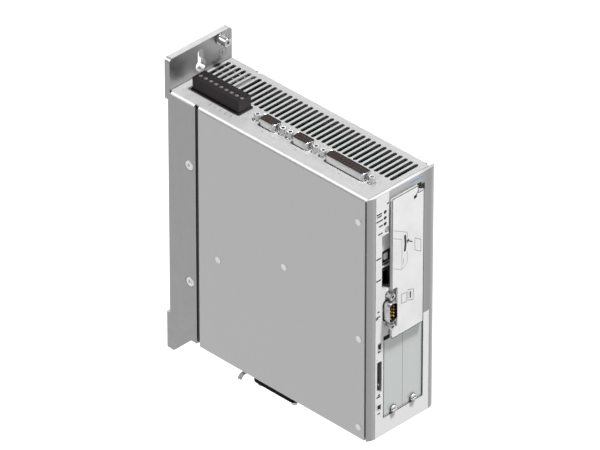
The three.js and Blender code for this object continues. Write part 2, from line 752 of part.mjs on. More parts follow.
/** Earth screw through the upper strap: washer, nut and a round head with a hexagon socket. */
function earthScrew() {
  const x = EARTH_SCREW_FROM_CENTRE;
  const z = TOP + EARTH_SCREW_ABOVE_HOUSING;
  const seat = STRAP_FACE - FIT;
  const washer = seat - EARTH_WASHER_THICK;
  const nut = washer - EARTH_NUT_THICK;
  const head = STRAP_FACE - EARTH_SCREW_REACH;
  return cut(
    join(
      prism(disc(x, z, EARTH_WASHER_RADIUS, 20), "y", washer, seat),
      prism(hexagon(x, z, EARTH_NUT_FLATS), "y", nut, washer + 0.2),
      prism(disc(x, z, EARTH_HEAD_RADIUS, 18), "y", head, nut + 0.2),
      prism(disc(x, z, EARTH_THREAD_RADIUS, 12), "y", seat - 1, -FIT),
    ),
    prism(hexagon(x, z, EARTH_HEAD_RADIUS), "y", head - 1, head + EARTH_NUT_THICK),
  );
}

// ---------------------------------------------------------------- sheet-metal housing

/** Rounded vent slots of a horizontal sheet between two depths. */
function ventSlots(from, to, z) {
  const count = Math.floor((to - from) / VENT_PITCH) + 1;
  return Array.from({ length: count }, (_, index) => {
    const y = from + index * VENT_PITCH;
    const slot = rectangle(
      LEFT + VENT_FROM_LEFT,
      RIGHT - VENT_FROM_RIGHT,
      y - VENT_WIDTH / 2,
      y + VENT_WIDTH / 2,
      VENT_WIDTH / 2 - 0.05,
    );
    return prism(slot, "z", z - 1, z + SHEET + 1, { steps: 1 });
  });
}

/** Opening for the supply terminal in the top sheet. */
function terminalOpening() {
  const x = LEFT + TERMINAL_FROM_LEFT;
  const rear = STRAP_FACE - TERMINAL_FROM_STRAP;
  return box(
    x - FIT,
    x + TERMINAL_WIDTH + FIT,
    rear - TERMINAL_LENGTH - FIT,
    rear + FIT,
    TOP - SHEET - 1,
    TOP + 1,
  );
}

/** Top sheet: its side edges roll down to the side covers; it carries the vents and ports. */
function topPanel() {
  const inner = ROLLED_EDGE - SHEET;
  const profile = outline([
    [LEFT, TOP - ROLLED_EDGE],
    [LEFT + SHEET, TOP - ROLLED_EDGE],
    [LEFT + SHEET, TOP - SHEET, inner],
    [RIGHT - SHEET, TOP - SHEET, inner],
    [RIGHT - SHEET, TOP - ROLLED_EDGE],
    [RIGHT, TOP - ROLLED_EDGE],
    [RIGHT, TOP, ROLLED_EDGE - 0.01],
    [LEFT, TOP, ROLLED_EDGE - 0.01],
  ]);
  const low = TOP - ROLLED_EDGE - 1;
  const high = TOP + 1;
  const edge = ROLLED_EDGE + 0.2;
  return cut(
    prism(profile, "y", BEHIND_FRONT, STRAP_FACE - FIT),
    ...ventSlots(FRONT + VENT_FROM_FRONT, STRAP_FACE - VENT_FROM_REAR, TOP - SHEET),
    ...topConnectors.flatMap((connector) => connectorCutters(connector, TOP_DSUB_CLEARANCE)),
    terminalOpening(),
    box(LEFT - 1, LEFT + edge, COVER_REAR, SINK_FRONT, low, high),
    box(RIGHT - edge, RIGHT + 1, COVER_REAR, SINK_FRONT, low, high),
    box(LEFT - 1, LEFT + edge, STRAP_FACE - EDGE_NOTCH_REAR, STRAP_FACE, low, high),
    box(RIGHT - edge, RIGHT + 1, FRONT, BEHIND_FRONT + EDGE_NOTCH_FRONT, low, high),
  );
}

/** Opening for the motor plug in the bottom sheet. */
function motorOpening() {
  const x = LEFT + MOTOR_PLUG_FROM_LEFT;
  const y = FRONT + MOTOR_PLUG_FROM_FRONT;
  return box(
    x - FIT,
    x + MOTOR_PLUG_WIDTH + FIT,
    y - FIT,
    y + MOTOR_PLUG_LENGTH + FIT,
    -1,
    SHEET + 1,
  );
}

/** Bottom sheet between the side covers, with the air inlet. */
function bottomPanel() {
  const inset = SHEET + FIT;
  return cut(
    box(LEFT + inset, RIGHT - inset, BEHIND_FRONT, SINK_FACE - FIT, 0, SHEET),
    ...ventSlots(FRONT + VENT_FROM_FRONT, SINK_FACE - VENT_FROM_REAR, 0),
    ...connectorCutters(bottomConnector, TOP_DSUB_CLEARANCE),
    motorOpening(),
  );
}

/** Side cover: a flat sheet from the front gap to the groove before the heat sink. */
function sideCover(side, studs) {
  const outer = side * RIGHT;
  const [x0, x1] = side < 0 ? [outer, outer + SHEET] : [outer - SHEET, outer];
  const sheet = box(x0, x1, FRONT_BACK + FRONT_SHADOW_GAP, COVER_REAR, 0, COVER_TOP);
  const heads = studs.map(([fromFront, z]) =>
    prism(disc(FRONT + fromFront, z, COVER_STUD_RADIUS, 14), "x", x0 - COVER_STUD_PROUD, x0 + 0.5),
  );
  return join(sheet, ...heads);
}

// ---------------------------------------------------------------- front

/** Outline of the front plate seen from above: its vertical edges curve back to a sharp arris. */
function frontPlateOutline() {
  const radius = FRONT_EDGE_RADIUS;
  const run = Math.sqrt(radius ** 2 - (radius - FRONT_THICK) ** 2);
  const sweep = Math.asin(run / radius);
  const left = LEFT - FRONT_OVERHANG_LEFT;
  const right = RIGHT + FRONT_OVERHANG_RIGHT;
  const down = -Math.PI / 2;
  const shape = new THREE.Shape();
  shape.absarc(left + run, FRONT + radius, radius, down - sweep, down, false);
  shape.absarc(right - run, FRONT + radius, radius, down, down + sweep, false);
  return shape;
}

/** Window cutters of the front: every opening of plate and label, grown by a margin. */
function frontWindows(margin, from, to) {
  const window = (x0, x1, z0, z1, radius = 0) =>
    prism(rectangle(x0 - margin, x1 + margin, z0 - margin, z1 + margin, radius), "y", from, to);
  const switchWindow = (z, height) =>
    window(
      LEFT + SWITCH_FROM_LEFT - SWITCH_WINDOW_WIDTH / 2,
      LEFT + SWITCH_FROM_LEFT + SWITCH_WINDOW_WIDTH / 2,
      z - height / 2,
      z + height / 2,
    );
  const portLeft = LEFT + PORT_WINDOW_LEFT;
  const portTop = TOP - PORT_WINDOW_FROM_TOP;
  const cardLeft = LEFT + SWITCH_FROM_LEFT - CARD_SLOT_WIDTH / 2;
  const leds = Array.from({ length: LED_COUNT }, (_, index) =>
    prism(
      disc(LEFT + LED_FROM_LEFT, TOP - LED_FROM_TOP - index * LED_PITCH, LED_RADIUS + 0.2 + margin, 12),
      "y",
      from,
      to,
    ),
  );
  return [
    window(portLeft, portLeft + PORT_WINDOW_WIDTH, portTop - PORT_WINDOW_HEIGHT, portTop),
    window(
      cardLeft,
      cardLeft + CARD_SLOT_WIDTH,
      CARD_UP - CARD_SLOT_LENGTH / 2,
      CARD_UP + CARD_SLOT_LENGTH / 2,
      1.2,
    ),
    switchWindow(TERMINATOR_UP, TERMINATOR_WINDOW_HEIGHT),
    switchWindow(BOOT_UP, BOOT_WINDOW_HEIGHT),
    prism(
      disc(LEFT + RESET_FROM_LEFT, TOP - RESET_FROM_TOP, RESET_RADIUS + FIT + margin, 16),
      "y",
      from,
      to,
    ),
    ...leds,
    ...connectorCutters(frontConnector, FRONT_DSUB_CLEARANCE + margin),
  ];
}

/** Front plate with all its windows and the ledge that the blank plates are screwed to. */
function frontPlate() {
  const from = FRONT - 1;
  const to = FRONT_BACK + 1;
  const rebate = FRONT + BLANK_SETBACK + BLANK_THICK + FIT;
  const moduleBottom = OPTION_TOP + MODULE_WINDOW_ABOVE_OPTION;
  const ledgeTop = OPTION_WINDOW_BOTTOM + OPTION_LEDGE;
  const screwHoles = blankCentres().map((x) =>
    prism(disc(x, OPTION_WINDOW_BOTTOM + BLANK_SCREW_UP, BLANK_SCREW_HOLE, 12), "y", FRONT, to),
  );
  return cut(
    prism(frontPlateOutline(), "z", 0, TOP),
    ...frontWindows(0, from, to),
    box(OPTION_LEFT, OPTION_RIGHT, from, rebate, OPTION_WINDOW_BOTTOM, OPTION_TOP),
    box(OPTION_LEFT, OPTION_RIGHT, from, to, ledgeTop, OPTION_TOP),
    box(
      LEFT + MODULE_WINDOW_LEFT,
      RIGHT - MODULE_WINDOW_RIGHT,
      from,
      to,
      moduleBottom,
      TOP - MODULE_WINDOW_FROM_TOP,
    ),
    ...screwHoles,
  );
}

/** Foil label: a strip up the left side that widens round the option slots. */
function frontLabel() {
  const back = FRONT - LABEL_GAP;
  const front = back - LABEL_THICK;
  const left = LEFT + LABEL_LEFT;
  const wideTop = OPTION_TOP + LABEL_ABOVE_OPTION;
  const foil = outline([
    [left, FIT],
    [RIGHT - LABEL_RIGHT, FIT],
    [RIGHT - LABEL_RIGHT, wideTop],
    [left + LABEL_STRIP_WIDTH, wideTop],
    [left + LABEL_STRIP_WIDTH, TOP - FIT],
    [left, TOP - FIT],
  ]);
  const margin = LABEL_MARGIN;
  const jackClearance = (side) => {
    const z = FRONT_DSUB_Z + (side * DSUB_SIZES.nine.screws) / 2;
    return prism(disc(PORT_X, z, JACK_FLATS / 2 + JACK_LABEL_CLEARANCE, 18), "y", front - 1, back + 1);
  };
  return cut(
    prism(foil, "y", front, back),
    ...frontWindows(margin, front - 1, back + 1),
    box(
      OPTION_LEFT - margin,
      OPTION_RIGHT + margin,
      front - 1,
      back + 1,
      OPTION_WINDOW_BOTTOM - margin,
      OPTION_TOP + margin,
    ),
    jackClearance(-1),
    jackClearance(1),
  );
}

/** Clip-on cover: finger notch at its top right, a bay beside the bus port and a rim behind. */
function slotCover() {
  const left = LEFT + COVER_LEFT;
  const right = RIGHT - COVER_RIGHT;
  const top = TOP - COVER_FROM_TOP;
  const bottom = OPTION_TOP - COVER_BELOW_OPTION_TOP;
  const bayTop = FRONT_DSUB_Z + COVER_PORT_BAY_HEIGHT / 2;
  const bayBottom = FRONT_DSUB_Z - COVER_PORT_BAY_HEIGHT / 2;
  const back = FRONT - COVER_STANDOFF;
  const face = outline([
    [left, bottom, COVER_CORNER],
    [right, bottom, COVER_CORNER],
    [right, top - COVER_NOTCH],
    [right - COVER_NOTCH, top - COVER_NOTCH, 2],
    [right - COVER_NOTCH, top],
    [left, top, COVER_CORNER],
    [left, bayTop],
    [left + COVER_PORT_BAY, bayTop, 1],
    [left + COVER_PORT_BAY, bayBottom, 1],
    [left, bayBottom],
  ]);
  const rimBack = back + COVER_RIM_DEPTH;
  const rimLeft = LEFT + MODULE_WINDOW_LEFT + COVER_RIM_GAP;
  const rimRight = RIGHT - MODULE_WINDOW_RIGHT - COVER_RIM_GAP;
  const rimTop = top - COVER_NOTCH - COVER_RIM_GAP;
  const rimBottom = OPTION_TOP + MODULE_WINDOW_ABOVE_OPTION + COVER_RIM_GAP;
  const rim = cut(
    box(rimLeft, rimRight, back - 0.5, rimBack, rimBottom, rimTop),
    box(
      rimLeft + COVER_RIM_THICK,
      rimRight - COVER_RIM_THICK,
      back,
      rimBack + 1,
      rimBottom + COVER_RIM_THICK,
      rimTop - COVER_RIM_THICK,
    ),
  );
  return join(prism(face, "y", back - COVER_THICK, back), rim);
}

/** Width of one of the two blank plates. */
function blankWidth() {
  return (OPTION_RIGHT - OPTION_LEFT - 3 * FIT) / 2;
}

/** x of the middle of each blank plate. */
function blankCentres() {
  const first = OPTION_LEFT + FIT + blankWidth() / 2;
  return [first, first + blankWidth() + FIT];
}

/** Blank plate of an unused option slot. */
function blankPlate(x) {
  const half = blankWidth() / 2;
  const from = FRONT + BLANK_SETBACK;
  const bottom = OPTION_WINDOW_BOTTOM + FIT;
  return cut(
    box(x - half, x + half, from, from + BLANK_THICK, bottom, bottom + BLANK_HEIGHT),
    prism(
      disc(x, OPTION_WINDOW_BOTTOM + BLANK_SCREW_UP, BLANK_SCREW_HOLE, 12),
      "y",
      from - 1,
      from + BLANK_THICK + 1,
    ),
  );
}

/** Pan-head screw of a blank plate. */
function blankScrew(x) {
  const z = OPTION_WINDOW_BOTTOM + BLANK_SCREW_UP;
  const seat = FRONT + BLANK_SETBACK - FIT;
  const { radius, height, slot } = BLANK_SCREW_HEAD;
  const face = seat - height;
  return cut(
    join(
      prism(disc(x, z, radius, 16), "y", face, seat),
      prism(disc(x, z, BLANK_SCREW_SHANK, 10), "y", seat - 1, FRONT_BACK + BLANK_SCREW_REACH),
    ),
    box(x - radius + slot, x + radius - slot, face - 1, face + slot, z - slot / 2, z + slot / 2),
  );
}

/** Light guide: three round lenses on a bar behind the front plate. */
function ledLightGuide() {
  const x = LEFT + LED_FROM_LEFT;
  const top = TOP - LED_FROM_TOP;
  const bottom = top - (LED_COUNT - 1) * LED_PITCH;
  const { half, depth, overhang } = LED_BAR;
  const bar = box(
    x - half,
    x + half,
    BEHIND_FRONT,
    BEHIND_FRONT + depth,
    bottom - overhang,
    top + overhang,
  );
  const lenses = Array.from({ length: LED_COUNT }, (_, index) =>
    prism(disc(x, top - index * LED_PITCH, LED_RADIUS, 12), "y", FRONT - LED_PROUD, BEHIND_FRONT + 1),
  );
  return join(bar, ...lenses);
}

/** Reset button: a plunger with a collar behind the front plate. */
function resetButton() {
  const x = LEFT + RESET_FROM_LEFT;
  const z = TOP - RESET_FROM_TOP;
  const { radius, reach } = RESET_STEM;
  return join(
    prism(disc(x, z, RESET_RADIUS, 16), "y", FRONT - RESET_PROUD, BEHIND_FRONT + 0.5),
    prism(disc(x, z, RESET_COLLAR_RADIUS, 16), "y", BEHIND_FRONT, BEHIND_FRONT + 1),
    prism(disc(x, z, radius, 8), "y", BEHIND_FRONT, BEHIND_FRONT + reach),
  );
}

/** Push switch on the board behind the reset button. */
function resetSwitch() {
  const z = TOP - RESET_FROM_TOP;
  const front = BEHIND_FRONT + RESET_STEM.reach + FIT + RESET_TRAVEL;
  const { reach, depth, half } = RESET_SWITCH;
  return box(BOARD_FACE + FIT, BOARD_FACE + reach, front, front + depth, z - half, z + half);
}

/** Body of a small slide switch, open towards the front window. */
function slideSwitch(z, height) {
  const x = LEFT + SWITCH_FROM_LEFT;
  const front = BEHIND_FRONT;
  const end = height / 2;
  const { half, depth, overhang } = SWITCH_BODY;
  return cut(
    box(x - half, x + half, front, front + depth, z - end - overhang, z + end + overhang),
    box(
      x - SWITCH_WELL.half,
      x + SWITCH_WELL.half,
      front - 1,
      front + SWITCH_WELL.depth,
      z - end,
      z + end,
    ),
  );
}

/** Lever of a slide switch, at the lower end of its window. */
function slideLever(z, height) {
  const x = LEFT + SWITCH_FROM_LEFT;
  const low = z - height / 2 + SLIDER_END_PLAY;
  const half = SLIDER_WIDTH / 2;
  const front = BEHIND_FRONT - SLIDER_PROUD;
  return box(x - half, x + half, front, BEHIND_FRONT + SLIDER_ROOT, low, low + SLIDER_HEIGHT);
}

/** Memory-card socket: a flat case with a card slot open to the front. */
function cardSocket() {
  const x = LEFT + SWITCH_FROM_LEFT;
  const half = CARD_SLOT_LENGTH / 2;
  const wide = CARD_SLOT_WIDTH / 2;
  const front = BEHIND_FRONT;
  return cut(
    box(
      x - wide - CARD_CASE_WALL,
      x + wide,
      front,
      front + CARD_SOCKET_DEPTH,
      CARD_UP - half - CARD_CASE_WALL,
      CARD_UP + half + CARD_CASE_WALL,
    ),
    box(
      x - CARD_GAP / 2,
      x + CARD_GAP / 2,
      front - 1,
      front + CARD_SOCKET_DEPTH - 2,
      CARD_UP - half + CARD_CASE_WALL,
      CARD_UP + half - CARD_CASE_WALL,
    ),
  );
}

/** Grey plate behind the port window, open at the two socket mouths. */
function portBezel() {
  const left = LEFT + PORT_WINDOW_LEFT - PORT_BEZEL_OVERLAP;
  const right = PORT_X + SOCKET_RIGHT;
  const windowTop = TOP - PORT_WINDOW_FROM_TOP;
  const bottom = windowTop - PORT_WINDOW_HEIGHT - PORT_BEZEL_OVERLAP;
  const back = BEHIND_FRONT + PORT_BEZEL_THICK;
  const mouth = (fromTop, height) =>
    box(
      PORT_X + PORT_MOUTH_LEFT,
      PORT_X + PORT_MOUTH_LEFT + PORT_MOUTH_WIDTH,
      BEHIND_FRONT - 1,
      back + 1,
      TOP - fromTop - height / 2,
      TOP - fromTop + height / 2,
    );
  return cut(
    box(left, right, BEHIND_FRONT, back, bottom, windowTop + PORT_BEZEL_OVERLAP),
    mouth(USB_FROM_TOP, USB_MOUTH_HEIGHT),
    mouth(RJ45_FROM_TOP, RJ45_MOUTH_HEIGHT),
  );
}

/** Square device socket with its tongue. */
function usbSocket() {
  const z = TOP - USB_FROM_TOP;
  const mouthLeft = PORT_X + PORT_MOUTH_LEFT;
  const mouthRight = mouthLeft + PORT_MOUTH_WIDTH;
  const front = BEHIND_BEZEL;
  const half = USB_MOUTH_HEIGHT / 2;
  const middle = (mouthLeft + mouthRight) / 2;
  const { width, height, setback } = USB_TONGUE;
  return join(
    cut(
      box(
        BOARD_FACE + FIT,
        PORT_X + SOCKET_RIGHT,
        front,
        front + USB_DEPTH,
        z - half - USB_WALL,
        z + half + USB_WALL,
      ),
      box(mouthLeft, mouthRight, front - 1, front + USB_MOUTH_DEPTH, z - half, z + half),
    ),
    box(
      middle - width / 2,
      middle + width / 2,
      front + setback,
      front + USB_MOUTH_DEPTH + 1,
      z - height / 2,
      z + height / 2,
    ),
  );
}

/** Network socket: a case with a deep mouth. */
function rj45Socket() {
  const z = TOP - RJ45_FROM_TOP;
  const mouthLeft = PORT_X + PORT_MOUTH_LEFT;
  const mouthRight = mouthLeft + PORT_MOUTH_WIDTH;
  const half = RJ45_MOUTH_HEIGHT / 2;
  const front = BEHIND_BEZEL;
  return cut(
    box(
      BOARD_FACE + FIT,
      PORT_X + SOCKET_RIGHT,
      front,
      front + RJ45_DEPTH,
      z - half - RJ45_WALL,
      z + half + RJ45_WALL,
    ),
    box(mouthLeft, mouthRight, front - 1, front + RJ45_MOUTH_DEPTH, z - half, z + half),
  );
}

// ---------------------------------------------------------------- power terminals

/** Header of the supply terminal: a collar on the top sheet over a body with the plug's cavity. */
function supplyHeader() {
  const x = LEFT + TERMINAL_FROM_LEFT;
  const rear = STRAP_FACE - TERMINAL_FROM_STRAP;
  const front = rear - TERMINAL_LENGTH;
  const seat = TOP + FIT;
  const collarTop = seat + TERMINAL_COLLAR_THICK;
  const wall = TERMINAL_WALL;
  return cut(
    join(
      box(x, x + TERMINAL_WIDTH, front, rear, TOP - TERMINAL_BODY_DEPTH, seat + 0.5),
      box(
        x - TERMINAL_COLLAR,
        x + TERMINAL_WIDTH + TERMINAL_COLLAR,
        front - TERMINAL_COLLAR,
        rear + TERMINAL_COLLAR,
        seat,
        collarTop,
      ),
    ),
    box(
      x + wall,
      x + TERMINAL_WIDTH - wall,
      front + wall,
      rear - wall,
      collarTop - TERMINAL_SPIGOT - FIT,
      collarTop + 1,
    ),
  );
}

/** Pull-off plug of the supply terminal: a row of wire wells over a spigot. */
function supplyPlug() {
  const x = LEFT + TERMINAL_FROM_LEFT;
  const rear = STRAP_FACE - TERMINAL_FROM_STRAP;
  const front = rear - TERMINAL_LENGTH;
  const base = TOP + FIT + TERMINAL_COLLAR_THICK + FIT;
  const top = TOP + TERMINAL_RISE;
  const inset = TERMINAL_WALL + FIT;
  const wells = Array.from({ length: TERMINAL_POLES }, (_, index) => {
    const y = front + (index + 0.5) * TERMINAL_PITCH;
    const middle = x + WIRE_WELL_FROM_EDGE;
    const half = WIRE_WELL / 2;
    return box(middle - half, middle + half, y - half, y + half, top - WIRE_WELL_DEPTH, top + 1);
  });
  return cut(
    join(
      box(x, x + TERMINAL_WIDTH, front, rear, base, top),
      box(
        x + inset,
        x + TERMINAL_WIDTH - inset,
        front + inset,
        rear - inset,
        base - TERMINAL_SPIGOT,
        base + 0.5,
      ),
    ),
    ...wells,
  );
}

/** Motor terminal under the housing, with rounded ends. */
function motorPlug() {
  const x = LEFT + MOTOR_PLUG_FROM_LEFT;
  const y = FRONT + MOTOR_PLUG_FROM_FRONT;
  const screws = motorScrewPlaces().map((place) =>
    prism(
      disc(x + MOTOR_PLUG_WIDTH / 2, place, MOTOR_SCREW_SHANK + FIT, 10),
      "z",
      -MOTOR_PLUG_DROP - 1,
      -MOTOR_PLUG_DROP + MOTOR_SCREW_HOLE,
    ),
  );
  return cut(
    prism(
      rectangle(x, x + MOTOR_PLUG_WIDTH, y, y + MOTOR_PLUG_LENGTH, MOTOR_PLUG_CORNER),
      "z",
      -MOTOR_PLUG_DROP,
      SHEET + MOTOR_PLUG_ROOT,
    ),
    ...screws,
  );
}

/** Depths of the motor plug's two locking screws. */
function motorScrewPlaces() {
  const middle = FRONT + MOTOR_PLUG_FROM_FRONT + MOTOR_PLUG_LENGTH / 2;
  return [middle - MOTOR_SCREW_SPACING / 2, middle + MOTOR_SCREW_SPACING / 2];
}

/** Slotted locking screw of the motor plug. */
function motorScrew(y) {
  const x = LEFT + MOTOR_PLUG_FROM_LEFT + MOTOR_PLUG_WIDTH / 2;
  const seat = -MOTOR_PLUG_DROP - FIT;
  const tip = seat - MOTOR_SCREW_DROP;
  return cut(
    join(
      prism(disc(x, y, MOTOR_SCREW_RADIUS, 14), "z", tip, seat),
      prism(disc(x, y, MOTOR_SCREW_SHANK, 10), "z", seat - 1, seat + MOTOR_SCREW_HOLE - FIT),
    ),
    box(x - 3, x + 3, y - MOTOR_SCREW_SLOT / 2, y + MOTOR_SCREW_SLOT / 2, tip - 1, tip + 1),
  );
}

/** Sprung hook for the motor cable's shield: a bent strip that curls out towards the left edge. */
function shieldClip() {
  const right = LEFT + CLIP_FROM_LEFT;
  const tip = LEFT + CLIP_TIP_FROM_LEFT;
  const low = -CLIP_DROP;
  const thick = CLIP_THICK;
  const bend = 3;
  const profile = outline([
    [right - 4, -FIT],
    [right - 4, -FIT - thick],
    [right - thick, -FIT - thick],
    [right - thick, low + bend],
    [right - bend, low + thick],
    [tip + bend, low + thick - 0.4],
    [tip + 0.9, low - 1.1],
    [tip, low - 2.8],
    [tip + 0.8, low - 3],
    [tip + 1.7, low - 1.6],
    [tip + bend + 0.4, low - 0.4],
    [right - bend + 0.4, low],
    [right, low + bend - 0.4],
    [right, -FIT],
  ]);
  const middle = FRONT + CLIP_FROM_FRONT;
  return prism(profile, "y", middle - CLIP_WIDTH / 2, middle + CLIP_WIDTH / 2);
}

// ---------------------------------------------------------------- inside

/** Control board, parallel to the left cover, with a notch for the card socket. */
function controlBoard() {
  const front = FRONT + BOARD_FROM_FRONT;
  const rear = SINK_FACE - BOARD_FROM_SINK;
  const socketRear = BEHIND_FRONT + CARD_SOCKET_DEPTH + FIT;
  const half = CARD_SLOT_LENGTH / 2 + CARD_CASE_WALL + FIT;
  return cut(
    box(BOARD_X, BOARD_FACE, front, rear, BOARD_UP, TOP - BOARD_END_MARGIN),
    box(BOARD_X - 1, BOARD_FACE + 1, front - 1, socketRear, CARD_UP - half, CARD_UP + half),
  );
}

/** Spacer between the left cover and the control board. */
function boardSpacer(z) {
  return prism(
    disc(FRONT + SPACER_FROM_FRONT, z, SPACER_FLATS_RADIUS, 6),
    "x",
    LEFT + SHEET + FIT,
    BOARD_X - FIT,
  );
}

/** Power board, parallel to the right cover. */
function powerBoard() {
  const x = RIGHT - SHEET - POWER_BOARD_FROM_RIGHT;
  return box(
    x,
    x + BOARD_THICK,
    FRONT + POWER_BOARD_FROM_FRONT,
    SINK_FACE - BOARD_FROM_SINK,
    POWER_BOARD_UP,
    TOP - BOARD_END_MARGIN,
  );
}

/** Link capacitor lying on the power board. */
function linkCapacitor(index) {
  const right = RIGHT - SHEET - POWER_BOARD_FROM_RIGHT - FIT;
  const y = FRONT + CAPACITOR_FROM_FRONT;
  const z = TOP - CAPACITOR_FROM_TOP - index * CAPACITOR_PITCH;
  const { length, step } = CAPACITOR_FOOT;
  return join(
    prism(disc(y, z, CAPACITOR_RADIUS, 24), "x", right - CAPACITOR_LENGTH, right - length + 1),
    prism(disc(y, z, CAPACITOR_RADIUS - step, 24), "x", right - length, right),
  );
}

/** Mains choke on the power board: a wound core with clamped ends. */
function mainsChoke() {
  const right = RIGHT - SHEET - POWER_BOARD_FROM_RIGHT - FIT;
  const y = FRONT + CAPACITOR_FROM_FRONT;
  const z = CHOKE_UP;
  const core = CHOKE_CORE;
  const coil = CHOKE_WINDING;
  const coilOutline = rectangle(
    y - coil.depth / 2,
    y + coil.depth / 2,
    z - coil.height / 2,
    z + coil.height / 2,
    coil.corner,
  );
  return join(
    box(
      right - core.reach,
      right,
      y - core.depth / 2,
      y + core.depth / 2,
      z - core.height / 2,
      z + core.height / 2,
    ),
    prism(coilOutline, "x", right - coil.reach, right - coil.gap),
  );
}

/** Power module on the heat sink's base. */
function powerModule() {
  const rear = SINK_FACE - FIT;
  const { width, bottom, top, thick } = MODULE_BASE;
  const half = width / 2;
  const caseHalf = half - MODULE_CASE.inset;
  return join(
    box(-half, half, rear - thick, rear, bottom, top),
    box(
      -caseHalf,
      caseHalf,
      rear - MODULE_CASE.thick,
      rear - thick / 2,
      bottom + MODULE_CASE.end,
      top - MODULE_CASE.end,
    ),
  );
}

/** Centre of the fan, seen from above. */
function fanCentre() {
  return {
    x: RIGHT - FAN_FROM_RIGHT - FAN_SIZE / 2,
    y: SINK_FACE - FAN_FROM_SINK - FAN_SIZE / 2,
  };
}

/** Fan frame: a square ring with a bearing plate on three struts. */
function fanFrame() {
  const { x, y } = fanCentre();
  const half = FAN_SIZE / 2;
  const low = SHEET + FIT;
  const ring = cut(
    prism(rectangle(x - half, x + half, y - half, y + half, 3), "z", low, low + FAN_THICK),
    prism(disc(x, y, FAN_TIP_RADIUS + FAN_TIP_GAP, 32), "z", low - 1, low + FAN_THICK + 1),
  );
  const reach = FAN_TIP_RADIUS + FAN_TIP_GAP + 0.4;
  const struts = Array.from({ length: FAN_STRUTS }, (_, index) => {
    const strut = new THREE.BoxGeometry(reach, FAN_STRUT_WIDTH, FAN_FLOOR);
    strut.translate(reach / 2, 0, 0);
    strut.rotateZ((index * 2 * Math.PI) / FAN_STRUTS + Math.PI / 2);
    strut.translate(x, y, low + FAN_FLOOR / 2);
    return solidOf(strut);
  });
  return join(
    ring,
    prism(disc(x, y, FAN_HUB_RADIUS, 20), "z", low, low + FAN_FLOOR),
    prism(disc(x, y, FAN_PIN_RADIUS, 12), "z", low + 1, low + FAN_THICK - FAN_PIN_SHORT),
    ...struts,
  );
}

/** Fan rotor: a hub cap with pitched blades, turning on the frame's pin. */
function fanRotor() {
  const { x, y } = fanCentre();
  const low = SHEET + FIT + FAN_FLOOR + FAN_PLAY;
  const high = SHEET + FIT + FAN_THICK - FAN_PLAY;
  const span = FAN_TIP_RADIUS - FAN_HUB_RADIUS + 1;
  const blades = Array.from({ length: FAN_BLADES }, (_, index) => {
    const blade = new THREE.BoxGeometry(span, FAN_BLADE.chord, FAN_BLADE.thick);
    blade.rotateX(FAN_BLADE.pitch);
    blade.translate(FAN_TIP_RADIUS - span / 2 - FIT, 0, (low + high) / 2);
    blade.rotateZ((index * 2 * Math.PI) / FAN_BLADES);
    blade.translate(x, y, 0);
    return solidOf(blade);
  });
  const bore = disc(x, y, FAN_PIN_RADIUS + FAN_BORE_GAP, 12);
  return cut(
    join(prism(disc(x, y, FAN_HUB_RADIUS, 24), "z", low, high), ...blades),
    prism(bore, "z", low - 1, high - FAN_BORE_SHORT),
  );
}

// ---------------------------------------------------------------- assembly

const drive = new THREE.Group();
drive.name = "servo_drive";

drive.add(part("heat_sink", heatSink(), FINISH.aluminium));
drive.add(part("top_panel", topPanel(), FINISH.galvanised));
drive.add(part("bottom_panel", bottomPanel(), FINISH.galvanised));
drive.add(part("side_cover_left", sideCover(-1, COVER_STUDS), FINISH.galvanised));
drive.add(part("side_cover_right", sideCover(1, []), FINISH.galvanised));
drive.add(part("front_plate", frontPlate(), FINISH.frontMetal));
drive.add(part("front_label", frontLabel(), FINISH.label));
drive.add(part("slot_cover", slotCover(), FINISH.whiteCover));

const [blankLeftX, blankRightX] = blankCentres();
drive.add(part("blank_plate_left", blankPlate(blankLeftX), FINISH.blankSheet));
drive.add(part("blank_plate_right", blankPlate(blankRightX), FINISH.blankSheet));
drive.add(part("blank_screw_left", blankScrew(blankLeftX), FINISH.zincSteel));
drive.add(part("blank_screw_right", blankScrew(blankRightX), FINISH.zincSteel));
drive.add(part("strip_screw_upper", stripScrew(STRIP_SCREW_HEIGHTS.upper), FINISH.zincSteel));
drive.add(part("strip_screw_lower", stripScrew(STRIP_SCREW_HEIGHTS.lower), FINISH.zincSteel));
drive.add(part("earth_screw", earthScrew(), FINISH.nickel));

drive.add(part("supply_header", supplyHeader(), FINISH.blackPlastic));
drive.add(part("supply_plug", supplyPlug(), FINISH.blackPlastic));
topConnectors.forEach((connector) => drive.add(dsubConnector(connector, true)));
drive.add(dsubConnector(frontConnector, true));
drive.add(dsubConnector(bottomConnector, false));

drive.add(part("motor_plug", motorPlug(), FINISH.blackPlastic));
motorScrewPlaces().forEach((place, index) =>
  drive.add(part(`motor_plug_screw_${"ab"[index]}`, motorScrew(place), FINISH.zincSteel)),
);
drive.add(part("shield_clip", shieldClip(), FINISH.zincSteel));

drive.add(part("port_bezel", portBezel(), FINISH.frontMetal));
drive.add(part("usb_socket", usbSocket(), FINISH.nickel));
drive.add(part("rj45_socket", rj45Socket(), FINISH.blackPlastic));
drive.add(part("led_light_guide", ledLightGuide(), FINISH.lens));
drive.add(part("reset_button", resetButton(), FINISH.greyButton));
drive.add(part("reset_switch", resetSwitch(), FINISH.blackPlastic));
drive.add(part("card_socket", cardSocket(), FINISH.blackPlastic));
drive.add(
  part("terminator_switch", slideSwitch(TERMINATOR_UP, TERMINATOR_WINDOW_HEIGHT), FINISH.blackPlastic),
);
drive.add(
  part("terminator_lever", slideLever(TERMINATOR_UP, TERMINATOR_WINDOW_HEIGHT), FINISH.greyButton),
);
drive.add(part("boot_switch", slideSwitch(BOOT_UP, BOOT_WINDOW_HEIGHT), FINISH.blackPlastic));
drive.add(part("boot_lever", slideLever(BOOT_UP, BOOT_WINDOW_HEIGHT), FINISH.greyButton));

